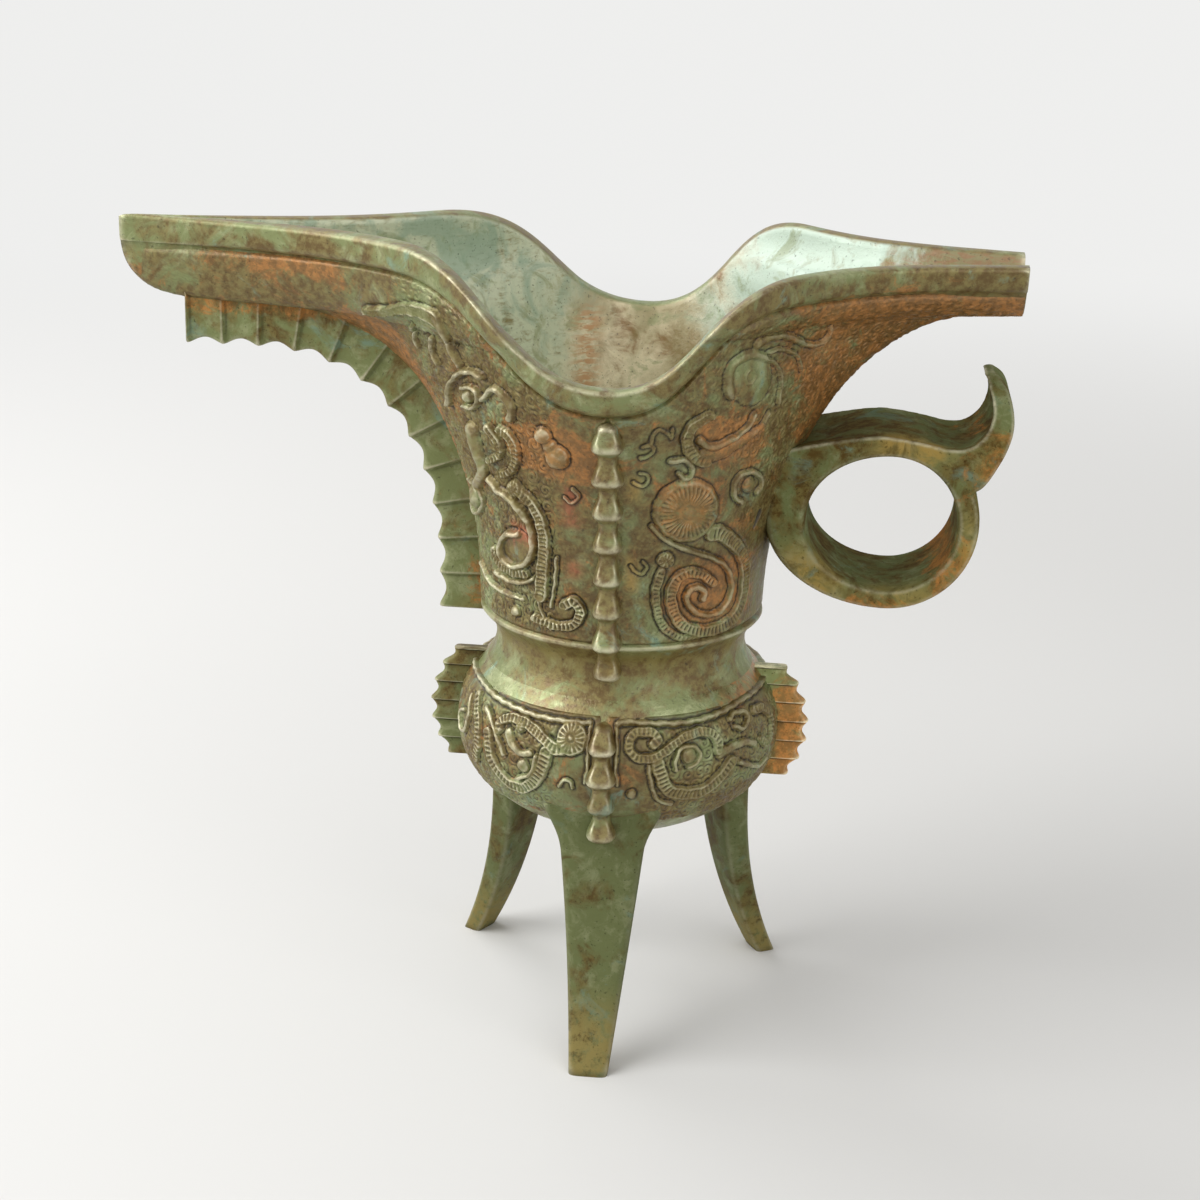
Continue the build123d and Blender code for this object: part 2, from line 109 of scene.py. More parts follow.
# a point of the cup's wall: turn 0 at the tail, a quarter at the front, a half at the spout
def wallPoint(turn, z, grow=0.0, lift=0.0):
    turn, z = np.broadcast_arrays(np.asarray(turn, float), np.asarray(z, float))
    share = np.abs(np.cos(turn))
    tailSide = np.cos(turn) >= 0
    widths = [halfWidth(z, share, end) for end in (tailEnd, spoutEnd)]
    width = np.where(tailSide, *widths)
    width = width + grow if grow >= 0 else width * width / (width - grow)
    x = share * np.where(tailSide, runOf(z, tailEnd, grow, lift), -runOf(z, spoutEnd, grow, lift))
    y = width * np.where(np.sin(turn) >= 0, -1, 1)
    y = np.where(np.abs(np.sin(turn)) < 1e-9, 0.0, y)
    return np.stack([x, y, z + lift], -1)


# the rim's soft rise from the saddle to both ends
def rimHeight(x):
    t = np.linspace(0, 1, 241)
    across = ((1 - t) ** 3 + 1.5 * t * (1 - t))[::-1]
    high = ((1 - t) ** 3 + 3 * t * (1 - t) ** 2)[::-1]
    spoutRim, tailRim = [np.interp(np.abs(x) / reach, across, high) * (end["rim"] - cup["saddle"])
                         for reach, end in ((cup["toSpout"], spoutEnd), (cup["toTail"], tailEnd))]
    return cup["saddle"] + np.where(x < 0, spoutRim, tailRim)


def runAlong(points):
    return np.concatenate([[0], np.cumsum(np.linalg.norm(np.diff(points, axis=0), axis=1))])


# turns and heights of a line below the rim, evenly spaced from the front to one end
def rimLine(end, count, drop=0.0, grow=0.0, lift=0.0, crowd=1.0):
    side = 1 if end is tailEnd else -1
    far = runOf(np.array(end["rim"] - drop - lift), end, grow, lift)
    along = far * np.sin(np.linspace(0, math.pi / 2, 1200))
    z = rimHeight(side * along) - drop - lift
    turn = np.arccos(clip01(along / runOf(z, end, grow, lift)))
    run = runAlong(wallPoint(turn if end is tailEnd else math.pi - turn, z, grow, lift))
    along = np.interp(run[-1] * np.linspace(0, 1, count) ** crowd, run, along)
    z = rimHeight(side * along) - drop - lift
    turn = np.arccos(clip01(along / runOf(z, end, grow, lift)))
    turn[-1] = 0.0
    return turn if end is tailEnd else math.pi - turn, z


# the same right round the cup, from the tail by the front and the spout
def rimLoop(count, drop=0.0, grow=0.0, lift=0.0):
    tail, spout = [rimLine(end, count, drop, grow, lift) for end in (tailEnd, spoutEnd)]
    turn, z = [np.concatenate([t[::-1], s[1:]]) for t, s in zip(tail, spout)]
    return np.concatenate([turn, 2 * math.pi - turn[-2::-1]]), np.concatenate([z, z[-2::-1]])


# a quarter of the wall from a level line up to a line below the rim, in rows evenly spaced along each column
def wallQuarter(end, count, low, drop, rows, grow=0.0, lift=0.0, crowd=1.0):
    turnHigh, high = rimLine(end, count, drop, grow, lift, crowd)
    way = np.linspace(0, 1, count)
    xLow = runOf(np.array(low), end, grow, lift) * np.sin(way * math.pi / 2)
    xHigh = np.abs(wallPoint(turnHigh, high, grow, lift)[:, 0])
    floor = end["floor"]
    near = np.geomspace(wallGrid["nearest"], wallGrid["farthest"], wallGrid["near"])
    places, turns = [], []
    for u, first, last, top in zip(way, xLow, xHigh, high):
        z = np.concatenate([np.linspace(low, top, wallGrid["levels"]), floor - near, floor + near])
        z = np.unique(z[(z >= low) & (z <= top)])
        run = runOf(z, end, grow, lift)
        climb = ((z - low) / (top - low)) ** wallGrid["climbPower"]
        bent = smooth01((u - wallGrid["bendFrom"]) / wallGrid["bendOver"])
        climb += ((run - run[0]) / (run[-1] - run[0]) - climb) * bent
        x = first + (last - first) * climb
        turn = np.arccos(clip01(x / run)) if u < 1 else 0 * z
        turn = turn if end is tailEnd else math.pi - turn
        place = wallPoint(turn, z, grow, lift)
        length = runAlong(place)
        wanted = np.linspace(0, length[-1], rows)
        places.append(np.stack([np.interp(wanted, length, place[:, c]) for c in range(3)], -1))
        turns.append(np.interp(wanted, length, turn))
    return np.stack(places, 1), np.stack(turns, 1)


# the same right round the cup
def wallLoop(count, low, drop, rows, grow=0.0, lift=0.0):
    tail, spout = [wallQuarter(end, count, low, drop, rows, grow, lift)[0] for end in (tailEnd, spoutEnd)]
    front = np.concatenate([tail[:, ::-1], spout[:, 1:]], 1)
    return np.concatenate([front, front[:, -2::-1] * np.array([1, -1, 1])], 1)


# a grid laid on a table of points in millimetres, with named values on its points
def tableMesh(table, values=None):
    rows, columns = table.shape[:2]
    bm = bmesh.new()
    bmesh.ops.create_grid(bm, x_segments=columns - 1, y_segments=rows - 1, size=0.5)
    layers = {key: bm.verts.layers.float.new(key) for key in (values or {})}
    for vert in bm.verts:
        column = round((vert.co.x + 0.5) * (columns - 1))
        row = round((vert.co.y + 0.5) * (rows - 1))
        vert.co = Vector(table[row, column]) * mm
        for key, layer in layers.items():
            vert[layer] = float(values[key][row, column])
    return bm


def closeUp(bm):
    bmesh.ops.remove_doubles(bm, verts=bm.verts, dist=1e-6)
    rims = [edge for edge in bm.edges if edge.is_boundary]
    if rims:
        bmesh.ops.holes_fill(bm, edges=rims)
    bmesh.ops.recalc_face_normals(bm, faces=bm.faces)
    return bm


def mergeInto(bm, other):
    mesh = bpy.data.meshes.new("part")
    other.to_mesh(mesh)
    other.free()
    bm.from_mesh(mesh)
    bpy.data.meshes.remove(mesh)
    return bm


def mirrored(bm):
    twin = bm.copy()
    bmesh.ops.scale(twin, vec=(1, -1, 1), verts=twin.verts)
    bmesh.ops.reverse_faces(twin, faces=twin.faces)
    return twin


# how far each point stands out as an edge, over a half, or lies in a hollow, under a half
def curvatureOf(mesh, rounds=3, least=0.004, most=1.5):
    count = len(mesh.vertices)
    place, normal, ends = np.empty(3 * count), np.empty(3 * count), np.empty(2 * len(mesh.edges), np.int64)
    mesh.vertices.foreach_get("co", place)
    mesh.vertices.foreach_get("normal", normal)
    mesh.edges.foreach_get("vertices", ends)
    place, normal, (a, b) = place.reshape(-1, 3) / mm, normal.reshape(-1, 3), ends.reshape(-1, 2).T
    way = place[a] - place[b]
    short = (way ** 2).sum(1) + least
    links = np.maximum(np.bincount(ends, minlength=count), 1)
    tilts = [np.clip((normal[k] * way).sum(1) / short, -most, most) for k in (a, b)]
    bend = (np.bincount(a, tilts[0], count) - np.bincount(b, tilts[1], count)) / links
    for _ in range(rounds):
        bend = 0.5 * bend + 0.5 * (np.bincount(a, bend[b], count) + np.bincount(b, bend[a], count)) / links
    return clip01(0.5 + 0.5 * bend)


def addPiece(name, bm, finish, nodes):
    mesh = bpy.data.meshes.new(name)
    bm.to_mesh(mesh)
    bm.free()
    for face in mesh.polygons:
        face.use_smooth = True
    # the edge and hollow measure: it drives the painted shade in hollows, and edge wear together with a
    # painted highlight
    mesh.attributes.new("curvature", "FLOAT", "POINT").data.foreach_set("value", curvatureOf(mesh).astype(np.float32))
    mesh.materials.append(bronzes[finish])
    piece = bpy.data.objects.new(name, mesh)
    bpy.context.scene.collection.objects.link(piece)
    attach(piece, "root")
    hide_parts(*nodes)


def neckRadius(z):
    waist, waistHeight = cup["waist"], cup["waistHeight"]
    below = (cup["neck"] - waist) * clip01((waistHeight - z) / (waistHeight - cup["neckHeight"])) ** 2
    above = (cup["radius"] - waist) * clip01((z - waistHeight) / (cup["neckTop"] - waistHeight)) ** 2.2
    return waist + below + above


def ringRow(radius, z, turn):
    return np.stack([radius * np.cos(turn), -radius * np.sin(turn), np.full(turn.shape, z)], -1)


# a smooth line through given points
def smoothLine(points, count):
    p = np.asarray(points, float)
    p = np.concatenate([[2 * p[0] - p[1]], p, [2 * p[-1] - p[-2]]])
    t = np.linspace(0, len(p) - 3, count)
    k = np.minimum(t.astype(int), len(p) - 4)
    f = (t - k)[:, None]
    a, b, c, d = p[k], p[k + 1], p[k + 2], p[k + 3]
    return b + f / 2 * (c - a + f * (2 * a - 5 * b + 4 * c - d + f * (3 * (b - c) + d - a)))


# a rounded square, squarer with a higher power
def squareLoop(angle, power):
    return [np.sign(way) * np.abs(way) ** (2 / power) for way in (np.cos(angle), np.sin(angle))]


# materials: link or set a node's inputs
def feed(made, inputs):
    for socket, value in inputs.items():
        if hasattr(value, "is_output"):
            made.id_data.links.new(value, made.inputs[socket])
        else:
            made.inputs[socket].default_value = value
    return made


def addNode(tree, kind, inputs=None, **settings):
    made = tree.nodes.new("ShaderNode" + kind)
    for key, value in settings.items():
        setattr(made, key, value)
    return feed(made, inputs or {})


def noiseOf(coords, scale, detail, rough, distortion=0.0):
    inputs = {"Vector": coords, "Scale": scale, "Detail": detail, "Roughness": rough,
              "Distortion": distortion}
    return addNode(coords.id_data, "TexNoise", inputs).outputs["Fac"]


def rangeOf(value, low, high, toLow=0.0, toHigh=1.0):
    inputs = {"Value": value, "From Min": low, "From Max": high, "To Min": toLow, "To Max": toHigh}
    made = addNode(value.id_data, "MapRange", inputs, interpolation_type="SMOOTHSTEP")
    return made.outputs["Result"]


def mathOf(kind, a, b, c=0.0, clamp=False):
    return addNode(a.id_data, "Math", {0: a, 1: b, 2: c}, operation=kind, use_clamp=clamp).outputs[0]


def times(a, b):
    return mathOf("MULTIPLY", a, b)


def plus(a, b):
    return mathOf("ADD", a, b, clamp=True)


def larger(a, b):
    return mathOf("MAXIMUM", a, b)


def mixOf(share, under, over):
    a, b = [colour if hasattr(colour, "is_output") else (*colour, 1.0) for colour in (under, over)]
    made = addNode(share.id_data, "Mix", {"Factor": share, "A": a, "B": b}, data_type="RGBA")
    return made.outputs["Result"]


# one colour over another where a value passes its limits
def coat(under, over, value, *limits):
    return mixOf(rangeOf(value, *limits), under, over)


def attributeOf(tree, name):
    return addNode(tree, "Attribute", attribute_name=name).outputs["Fac"]


# the mint tone is mint patina made paler with painted light, for the lit inner wall towards the tail
tones = dict(brown=(0.125, 0.078, 0.022), olive=(0.215, 0.172, 0.058), sage=(0.200, 0.228, 0.090),
             paleSage=(0.310, 0.335, 0.165), litMint=(0.46, 0.57, 0.48), turquoise=(0.21, 0.33, 0.24),
             rust=(0.240, 0.118, 0.034), ember=(0.440, 0.185, 0.048), red=(0.400, 0.105, 0.050),
             gold=(0.230, 0.160, 0.036), amber=(0.400, 0.255, 0.065), straw=(0.70, 0.60, 0.40),
             ash=(0.56, 0.60, 0.43), dark=(0.022, 0.016, 0.007), bright=(0.74, 0.70, 0.50))
# where a colour gathers: lowest and highest corner and the width of the soft edge, in millimetres
panelRust = [((31, -40, 104), (90, 40, 150), 8), ((-74, -14, 136), (-50, 14, 146), 5),
             ((-52, -9, 96), (-24, 9, 130), 4), ((-17, -40, 108), (-3, -20, 118), 4),
             ((10, -36, 79), (23, 0, 92), 3), ((8, -36, 98), (18, -10, 108), 2.5),
             ((14, -40, 110), (26, 0, 119), 3)]
bodyRust = [((20, -30, 60), (32, 30, 72), 4)]
combRust = [((28, -5, 42), (40, 5, 64), 4), ((-82, -4, 126), (-42, 4, 134), 1.5),
            ((-29, -4, 74), (-20, 4, 84), 3)]
handleRust = [((54, -14, 78), (70, 14, 94), 5), ((60, -14, 102), (70, 14, 113), 6),
              ((36, -14, 78), (54, 14, 83), 2)]
shellRust = [((34, -40, 104), (62, 40, 139), 8), ((-92, -20, 122), (-40, 20, 136), 3)]
insideRust = [((-13, 20, 102), (-8.5, 45, 124), 2.2)]
redPlaces = [((-7.6, -36, 99), (-4.6, -20, 106), 1.6), ((-18, -30, 93), (-13, -16, 98), 1.6),
             ((-7, -36, 89), (-4.6, -20, 92), 1.2)]
goldPlaces = [((44, -18, 106), (57, -8, 114), 3), ((29, -18, 80), (39, -8, 91), 4),
              ((44, -18, 78), (60, -8, 85), 3), ((60, -18, 84), (66, -8, 101), 3),
              ((62, -18, 105), (72, -8, 112), 4), ((3, -40, 104), (5.5, -20, 109), 1),
              ((3, -40, 87), (5, -20, 94), 1)]
neckGold = [((-30, -30, 71), (30, 30, 75), 2.5)]


# one inside a box, falling to nothing over a soft edge round it
def boxOf(place, low, high, soft):
    sides = []
    for axis, a, b in zip(place.outputs, low, high):
        rise = rangeOf(axis, (a - soft) * mm, (a + soft) * mm)
        sides.append(times(rise, rangeOf(axis, (b - soft) * mm, (b + soft) * mm, 1.0, 0.0)))
    return reduce(times, sides)


def placesOf(place, boxes):
    return reduce(larger, [boxOf(place, *box) for box in boxes])


def bronzePatina(name, green, rust, sheen, places=bodyRust, deep=1.0, polishAndHighlight=0.8, gloss=0.0, metal=0.12,
                 relief=False, inside=False, feet=False):
    # deep scales every tone of a part, as painted shade below one and painted light above one; fresh keeps
    # the rust tones from being darkened
    tone, fresh = [{key: tuple(scale * part for part in value) for key, value in tones.items()}
                   for scale in (deep, max(deep, 1.0))]
    material = bpy.data.materials.new(name)
    material.use_nodes = True
    tree = material.node_tree
    tree.nodes.clear()
    coords = addNode(tree, "TexCoord").outputs["Object"]
    place = addNode(tree, "SeparateXYZ", {0: coords})
    x = place.outputs["X"]
    edge = attributeOf(tree, "curvature")
    broad = noiseOf(coords, 42.0, 5.0, 0.62, 0.4)
    blue = noiseOf(coords, 85.0, 5.0, 0.65, 1.0)
    patch = noiseOf(coords, 150.0, 6.0, 0.65, 0.6)
    rusty = noiseOf(coords, 170.0, 8.0, 0.78, 0.8)
    pale = noiseOf(coords, 260.0, 6.0, 0.7, 0.5)
    grain = noiseOf(coords, 600.0, 5.0, 0.7)
    speck = noiseOf(coords, 1700.0, 3.0, 0.6)
    mottle = plus(times(broad, 0.45), times(patch, 0.55))
    # green over brown
    under = coat(tone["brown"], tone["olive"], grain, 0.38, 0.62)
    over = coat(tone["sage"], tone["paleSage"], pale, 0.46, 0.66)
    colour = coat(under, over, mottle, 0.58 - 0.2 * green, 0.70 - 0.2 * green)
    colour = coat(colour, tone["turquoise"], blue, 0.58, 0.70, 0.0, 0.7)
    # rust, gathered in its places and in the ground between the scrolls
    gather = times(placesOf(place, places), 0.24)
    if relief:
        height = attributeOf(tree, "relief")
        ground = times(rangeOf(height, 0.15, 0.42, 0.09, 0.0), rangeOf(x, -0.006, 0.006, 1.0, 0.6))
        gather = plus(gather, ground)
    rusted = coat(fresh["rust"], fresh["ember"], grain, 0.42, 0.62)
    colour = coat(colour, rusted, plus(rusty, gather), 0.70 - 0.16 * rust, 0.84 - 0.16 * rust, 0.0, 0.85)
    golden = times(placesOf(place, goldPlaces), rangeOf(patch, 0.42, 0.60, 0.05, 0.75))
    colour = mixOf(golden, colour, tones["amber"])
    reddish = times(placesOf(place, redPlaces), rangeOf(patch, 0.40, 0.56))
    colour = mixOf(times(reddish, 0.8), colour, tone["red"])
    if feet:
        tips = times(rangeOf(place.outputs["Z"], 0.004, 0.016, 1.0, 0.0), rangeOf(grain, 0.3, 0.55))
        colour = mixOf(tips, colour, tones["olive"])
    else:
        neck = times(placesOf(place, neckGold), rangeOf(mottle, 0.42, 0.56))
        colour = mixOf(times(neck, 0.75), colour, tone["gold"])
    if inside:
        # grey towards the spout, straw in the middle, mint towards the tail, the mint made pale as painted
        # light where the lamps fall on that inner wall
        brush = addNode(tree, "VectorMath", {0: coords, 1: (0.3, 0.3, 1.0)}, operation="MULTIPLY")
        brushed = noiseOf(brush.outputs[0], 1300.0, 4.0, 0.6, 0.5)
        middle = coat(tone["rust"], tone["straw"], patch, 0.30, 0.54)
        middle = coat(middle, tone["straw"], brushed, 0.44, 0.70, 0.0, 0.5)
        middle = coat(middle, tone["olive"], broad, 0.50, 0.62, 0.0, 0.7)
        grey = coat(tone["olive"], tone["ash"], times(plus(brushed, patch), 0.5), 0.30, 0.52)
        grey = coat(grey, tone["turquoise"], blue, 0.46, 0.64, 0.0, 0.7)
        along = mathOf("ADD", x, mathOf("MULTIPLY_ADD", patch, 0.03, -0.015))
        middle = coat(middle, grey, along, -0.020, -0.006, 0.9, 0.0)
        middle = coat(middle, tone["litMint"], along, 0.006, 0.022, 0.0, 0.95)
        middle = coat(middle, colour, patch, 0.54, 0.66, 0.0, 0.6)
        streak = times(placesOf(place, insideRust), rangeOf(brushed, 0.38, 0.60, 0.1, 0.8))
        middle = mixOf(streak, middle, tone["ember"])
        ends = coat(tone["olive"], tone["rust"], brushed, 0.40, 0.60)
        middle = coat(middle, ends, along, 0.042, 0.050, 0.0, 0.9)
        within = attributeOf(tree, "inside")
        colour = mixOf(within, colour, middle)
    # pits dark; hollows darkened as painted shade; ridges and edges lightened by rubbed wear together with a
    # painted highlight
    colour = coat(colour, tone["dark"], speck, 0.61, 0.71, 0.0, 0.55)
    # painted shade: hollows darkened towards near black
    colour = coat(colour, tone["dark"], edge, 0.26, 0.47, 0.8, 0.0)
    # rubbed wear on convex edges, lightened further as a painted highlight
    wearAndHighlight = rangeOf(edge, 0.54, 0.72)
    if relief:
        # painted shade: the low ground and the trenches beside the strokes darkened
        colour = coat(colour, tone["dark"], height, 0.03, 0.26, 0.9, 0.0)
        colour = coat(colour, tone["olive"], height, 0.40, 0.80, 0.0, 0.35)
        wearAndHighlight = times(wearAndHighlight, rangeOf(height, 0.28, 0.55))
        # painted highlight: stronger on the spout side, which faces the key lamp
        wearAndHighlight = times(wearAndHighlight, rangeOf(x, -0.010, 0.012, 0.9, 0.35))
    wearAndHighlight = times(wearAndHighlight, rangeOf(grain, 0.30, 0.55, 0.35, 1.0))
    wearAndHighlight = times(wearAndHighlight, rangeOf(patch, 0.38, 0.58, 0.3, 1.0))
    colour = mixOf(times(wearAndHighlight, polishAndHighlight), colour, tone["bright"])
    shine = rangeOf(wearAndHighlight, 0.0, 1.0, metal, 0.6)
    if inside:
        shine = times(shine, rangeOf(within, 0.0, 1.0, 1.0, 0.3))
    pitted = plus(times(grain, 0.6), times(speck, 0.4))
    bump = addNode(tree, "Bump", {"Strength": 0.4, "Distance": 0.0004, "Height": pitted})
    rough = rangeOf(grain, 0.3, 0.7, 0.50 - gloss, 0.72 - gloss)
    shader = addNode(tree, "BsdfPrincipled", {"Base Color": colour, "Roughness": rough,
                     "Metallic": shine, "Specular IOR Level": sheen, "Normal": bump.outputs["Normal"]})
    addNode(tree, "OutputMaterial", {"Surface": shader.outputs["BSDF"]})
    return material


# deep is painted shade and light by part: the legs, handle and spout-side combs darker, the body and tail
# comb lighter
finishes = dict(
    body=dict(green=0.7, rust=0.35, deep=1.12, gloss=0.26, sheen=0.8, metal=0.4),
    comb=dict(green=0.85, rust=0.5, places=combRust, deep=0.82, sheen=0.15),
    tailComb=dict(green=0.55, rust=0.7, places=combRust, deep=1.5, sheen=0.2),
    handle=dict(green=0.75, rust=0.65, places=handleRust, deep=0.72, polishAndHighlight=0.7, sheen=0.0),
    shell=dict(green=0.6, rust=0.45, places=shellRust, gloss=0.18, sheen=0.5, metal=0.35, inside=True),
    leg=dict(green=0.95, rust=0.2, deep=0.58, sheen=0.1, feet=True),
    rib=dict(green=0.4, rust=0.6, polishAndHighlight=0.7, gloss=0.2, sheen=0.6, metal=0.35),
    relief=dict(green=0.5, rust=0.68, places=panelRust, polishAndHighlight=0.75, gloss=0.18, sheen=0.5, metal=0.3,
                relief=True))
bronzes = {key: bronzePatina(key + "Bronze", **finish) for key, finish in finishes.items()}
print("materials made")

# cup shell: rows from the spigot up the outside, over the rim and down the inside
shellGrid = dict(quarter=110, wallRows=70, innerRows=60, neckRows=18, underPanels=0.35, seamGap=0.05,
                 wallFoot=0.7, innerFoot=0.1, innerDrop=0.5, boreTop=67.5,
                 tipFrom=66, tipOver=22, tipGrow=0.25, spoutFrom=76, spoutOver=9, tailFrom=52, tailOver=10,
                 borderSteps=((0.4, 0.0), (0.3, 0.5)), lipFoot=((4.75, 0.2), (4.6, 0.5), (4.3, 0.85)),
                 lipDrops=(3.9, 2.9, 1.9, 1.0, 0.5), throat=((22.0, 76.8), (20.6, 74.4), (19.7, 71.0)),
                 rimRound=((0.12, 0.14), (0.3, 0.02), (0.5, 0.0), (0.7, 0.02), (0.88, 0.14)))


# a row of the lip, which thins towards the spout's tip
def lipRow(drop, grow):
    proud, thin = [wallPoint(*rimLoop(shellGrid["quarter"], drop, out), out)
                   for out in (grow, shellGrid["tipGrow"])]
    return proud + (thin - proud) * smooth01((-proud[..., :1] - shellGrid["tipFrom"]) / shellGrid["tipOver"])


# square the tail off
def cutTail(bm, short=0.0):
    bmesh.ops.bisect_plane(bm, geom=bm.verts[:] + bm.edges[:] + bm.faces[:],
                           plane_co=((tailCut - short) * mm, 0, 0), plane_no=(1, 0, 0), clear_outer=True)
    return closeUp(bm)


def makeShell():
    grid, quarter, proud, wall = shellGrid, shellGrid["quarter"], cup["lipProud"], cup["wall"]
    border, foot, seam = cup["border"], cup["spigotFoot"], cup["neckHeight"] + shellGrid["seamGap"]
    turn = np.linspace(0, 2 * math.pi, 4 * quarter - 3)
    rings = [(cup["spigot"], foot), (cup["spigot"], cup["tuckHeight"]), (cup["tuck"], cup["tuckHeight"])]
    neck = seam + (cup["neckTop"] - seam) * np.linspace(0, 1, grid["neckRows"])
    rings += [(neckRadius(z), z) for z in neck]
    rings += [(cup["radius"] + grow, border + up) for grow, up in grid["borderSteps"]]
    rows = [ringRow(radius, z, turn) for radius, z in rings]
    # the wall lies back under the panels and is full where they end
    under, full = [wallLoop(quarter, border + grid["wallFoot"], cup["lipHeight"], grid["wallRows"], -inset)
                   for inset in (grid["underPanels"], 0.0)]
    atSpout = smooth01((-full[..., :1] - grid["spoutFrom"]) / grid["spoutOver"])
    atTail = smooth01((full[..., :1] - grid["tailFrom"]) / grid["tailOver"])
    rows += list(under + (full - under) * np.maximum(atSpout, atTail))
    rows += [lipRow(*step) for step in grid["lipFoot"]] + [lipRow(drop, proud) for drop in grid["lipDrops"]]
    outer = lipRow(0.0, proud)
    innerEdge = wallPoint(*rimLoop(quarter, 0.0, -wall, wall), -wall, wall)
    for q, drop in grid["rimRound"]:
        rows.append(outer + (innerEdge - outer) * q - np.array([0, 0, drop]))
    innerFrom = len(rows)
    inside = wallLoop(quarter, border + grid["innerFoot"], grid["innerDrop"], grid["innerRows"], -wall, wall)
    rows += list(inside[::-1])
    for radius, z in (*grid["throat"], (cup["bore"], grid["boreTop"]), (cup["bore"], foot)):
        rows.append(ringRow(radius, z, turn))
    table = np.stack(rows + rows[:1])
    inner = np.zeros(table.shape[:2])
    inner[innerFrom:] = 1.0
    return cutTail(closeUp(tableMesh(table, {"inside": inner})))


addPiece("cupShell", makeShell(), "shell", ["cup_shell"])
print("cup shell made")

# belly
belly = dict(radius=29.4, middle=54.0, floor=34.5, neck=24.4, neckHeight=66.0, power=2.1, wall=2.6,
             socket=20.8, socketFloor=62.9, bore=19.5, mouth=66.4, mouthInset=0.15, innerTop=60.5,
             outerRows=44, innerRows=36, steps=192)


def bellyRadius(z, inset=0.0):
    p = belly["power"]
    upper = (belly["neckHeight"] - belly["middle"]) / (1 - (belly["neck"] / belly["radius"]) ** p) ** (1 / p)
    height = np.where(z <= belly["middle"], belly["middle"] - belly["floor"], upper) - inset
    share = clip01(np.abs(z - belly["middle"]) / height)
    return (belly["radius"] - inset) * (1 - share ** p) ** (1 / p)


def bellyLine(low, high, count, inset=0.0):
    z = low + (high - low) * (1 - np.cos(np.linspace(0, math.pi, count))) / 2
    return [(float(bellyRadius(h, inset)), float(h)) for h in z]


def spun(profile, steps):
    bm = bmesh.new()
    verts = [bm.verts.new((r * mm, 0, z * mm)) for r, z in profile]
    edges = [bm.edges.new(pair) for pair in zip(verts, verts[1:])]
    bmesh.ops.spin(bm, geom=verts + edges, cent=(0, 0, 0), axis=(0, 0, 1), dvec=(0, 0, 0),
                   angle=2 * math.pi, steps=steps, use_merge=True)
    return closeUp(bm)


def makeBelly():
    mouth, socket, wall = belly["mouth"], belly["socket"], belly["wall"]
    profile = bellyLine(belly["floor"], belly["neckHeight"], belly["outerRows"])
    profile += [(float(neckRadius(mouth)) - belly["mouthInset"], mouth), (socket, mouth),
                (socket, belly["socketFloor"]), (belly["bore"], belly["socketFloor"])]
    profile += bellyLine(belly["floor"] + wall, belly["innerTop"], belly["innerRows"], wall)[::-1]
    return spun(profile, belly["steps"])


addPiece("bellyBowl", makeBelly(), "body", ["belly_bowl"])
print("belly made")

# legs
legForm = dict(rootRadius=22.6, rootHeight=47.0, bendPower=2.4, rows=40, columns=40, square=5.0,
               filletFrom=36.0, filletTo=47.0, filletWidth=5.0, filletPower=1.5)
frontLeg = dict(foot=37.6, rootSize=(8.0, 17.0), footSize=(4.2, 7.0))
rearLeg = dict(foot=32.6, rootSize=(6.8, 13.4), footSize=(4.0, 6.0))


# how far out a leg's middle stands, its depth and its width, by the share of its height
def legLine(leg, share):
    out = legForm["rootRadius"] + (leg["foot"] - legForm["rootRadius"]) * (1 - share) ** legForm["bendPower"]
    return out, *[foot + (root - foot) * share for root, foot in zip(leg["rootSize"], leg["footSize"])]


def makeLeg(leg, direction):
    share = np.linspace(0, 1, legForm["rows"])[:, None]
    out, depth, width = legLine(leg, share)
    z = share * legForm["rootHeight"]
    flare = smooth01((z - legForm["filletFrom"]) / (legForm["filletTo"] - legForm["filletFrom"]))
    width = width + legForm["filletWidth"] * flare ** legForm["filletPower"]
    u, v = squareLoop(np.linspace(0, 2 * math.pi, legForm["columns"] + 1)[None, :], legForm["square"])
    along, across = u * depth / 2, v * width / 2
    turn = math.radians(direction)
    x = (out + along) * math.cos(turn) - across * math.sin(turn)
    y = (out + along) * math.sin(turn) + across * math.cos(turn)
    # keep the root from coming out inside the belly
    inset = belly["wall"] / 2
    kept = np.maximum(1, np.where(z > belly["floor"] + inset, bellyRadius(z, inset), 0) / np.hypot(x, y))
    return closeUp(tableMesh(np.stack([x * kept, y * kept, z + 0 * across], -1)))


addPiece("legFront", makeLeg(frontLeg, -90), "leg", ["leg_front"])
addPiece("legRearSpout", makeLeg(rearLeg, 150), "leg", ["leg_rear_spout"])
addPiece("legRearTail", makeLeg(rearLeg, 30), "leg", ["leg_rear_tail"])
print("legs made")

# handle: a finger ring with a dished strap over it that ends in a hooked leaf
handle = dict(ringX=47.3, ringZ=96.8, hole=11.9, holeLeft=14.4, band=3.9, bandLeft=21.8, width=22.0,
              square=7.0, ringSteps=140, sectionSteps=48, strapRows=110, topSteps=27, underSteps=9,
              narrowed=0.98, sides=(0.06, 0.14, 0.3, 0.5, 0.7, 0.86, 0.94),
              dish=0.9, leafDish=1.6, leafFrom=0.45,
              leafOver=0.25, tipFade=0.12, dishPower=1.2, rootDepth=1.5, voxel=0.34, soften=10)
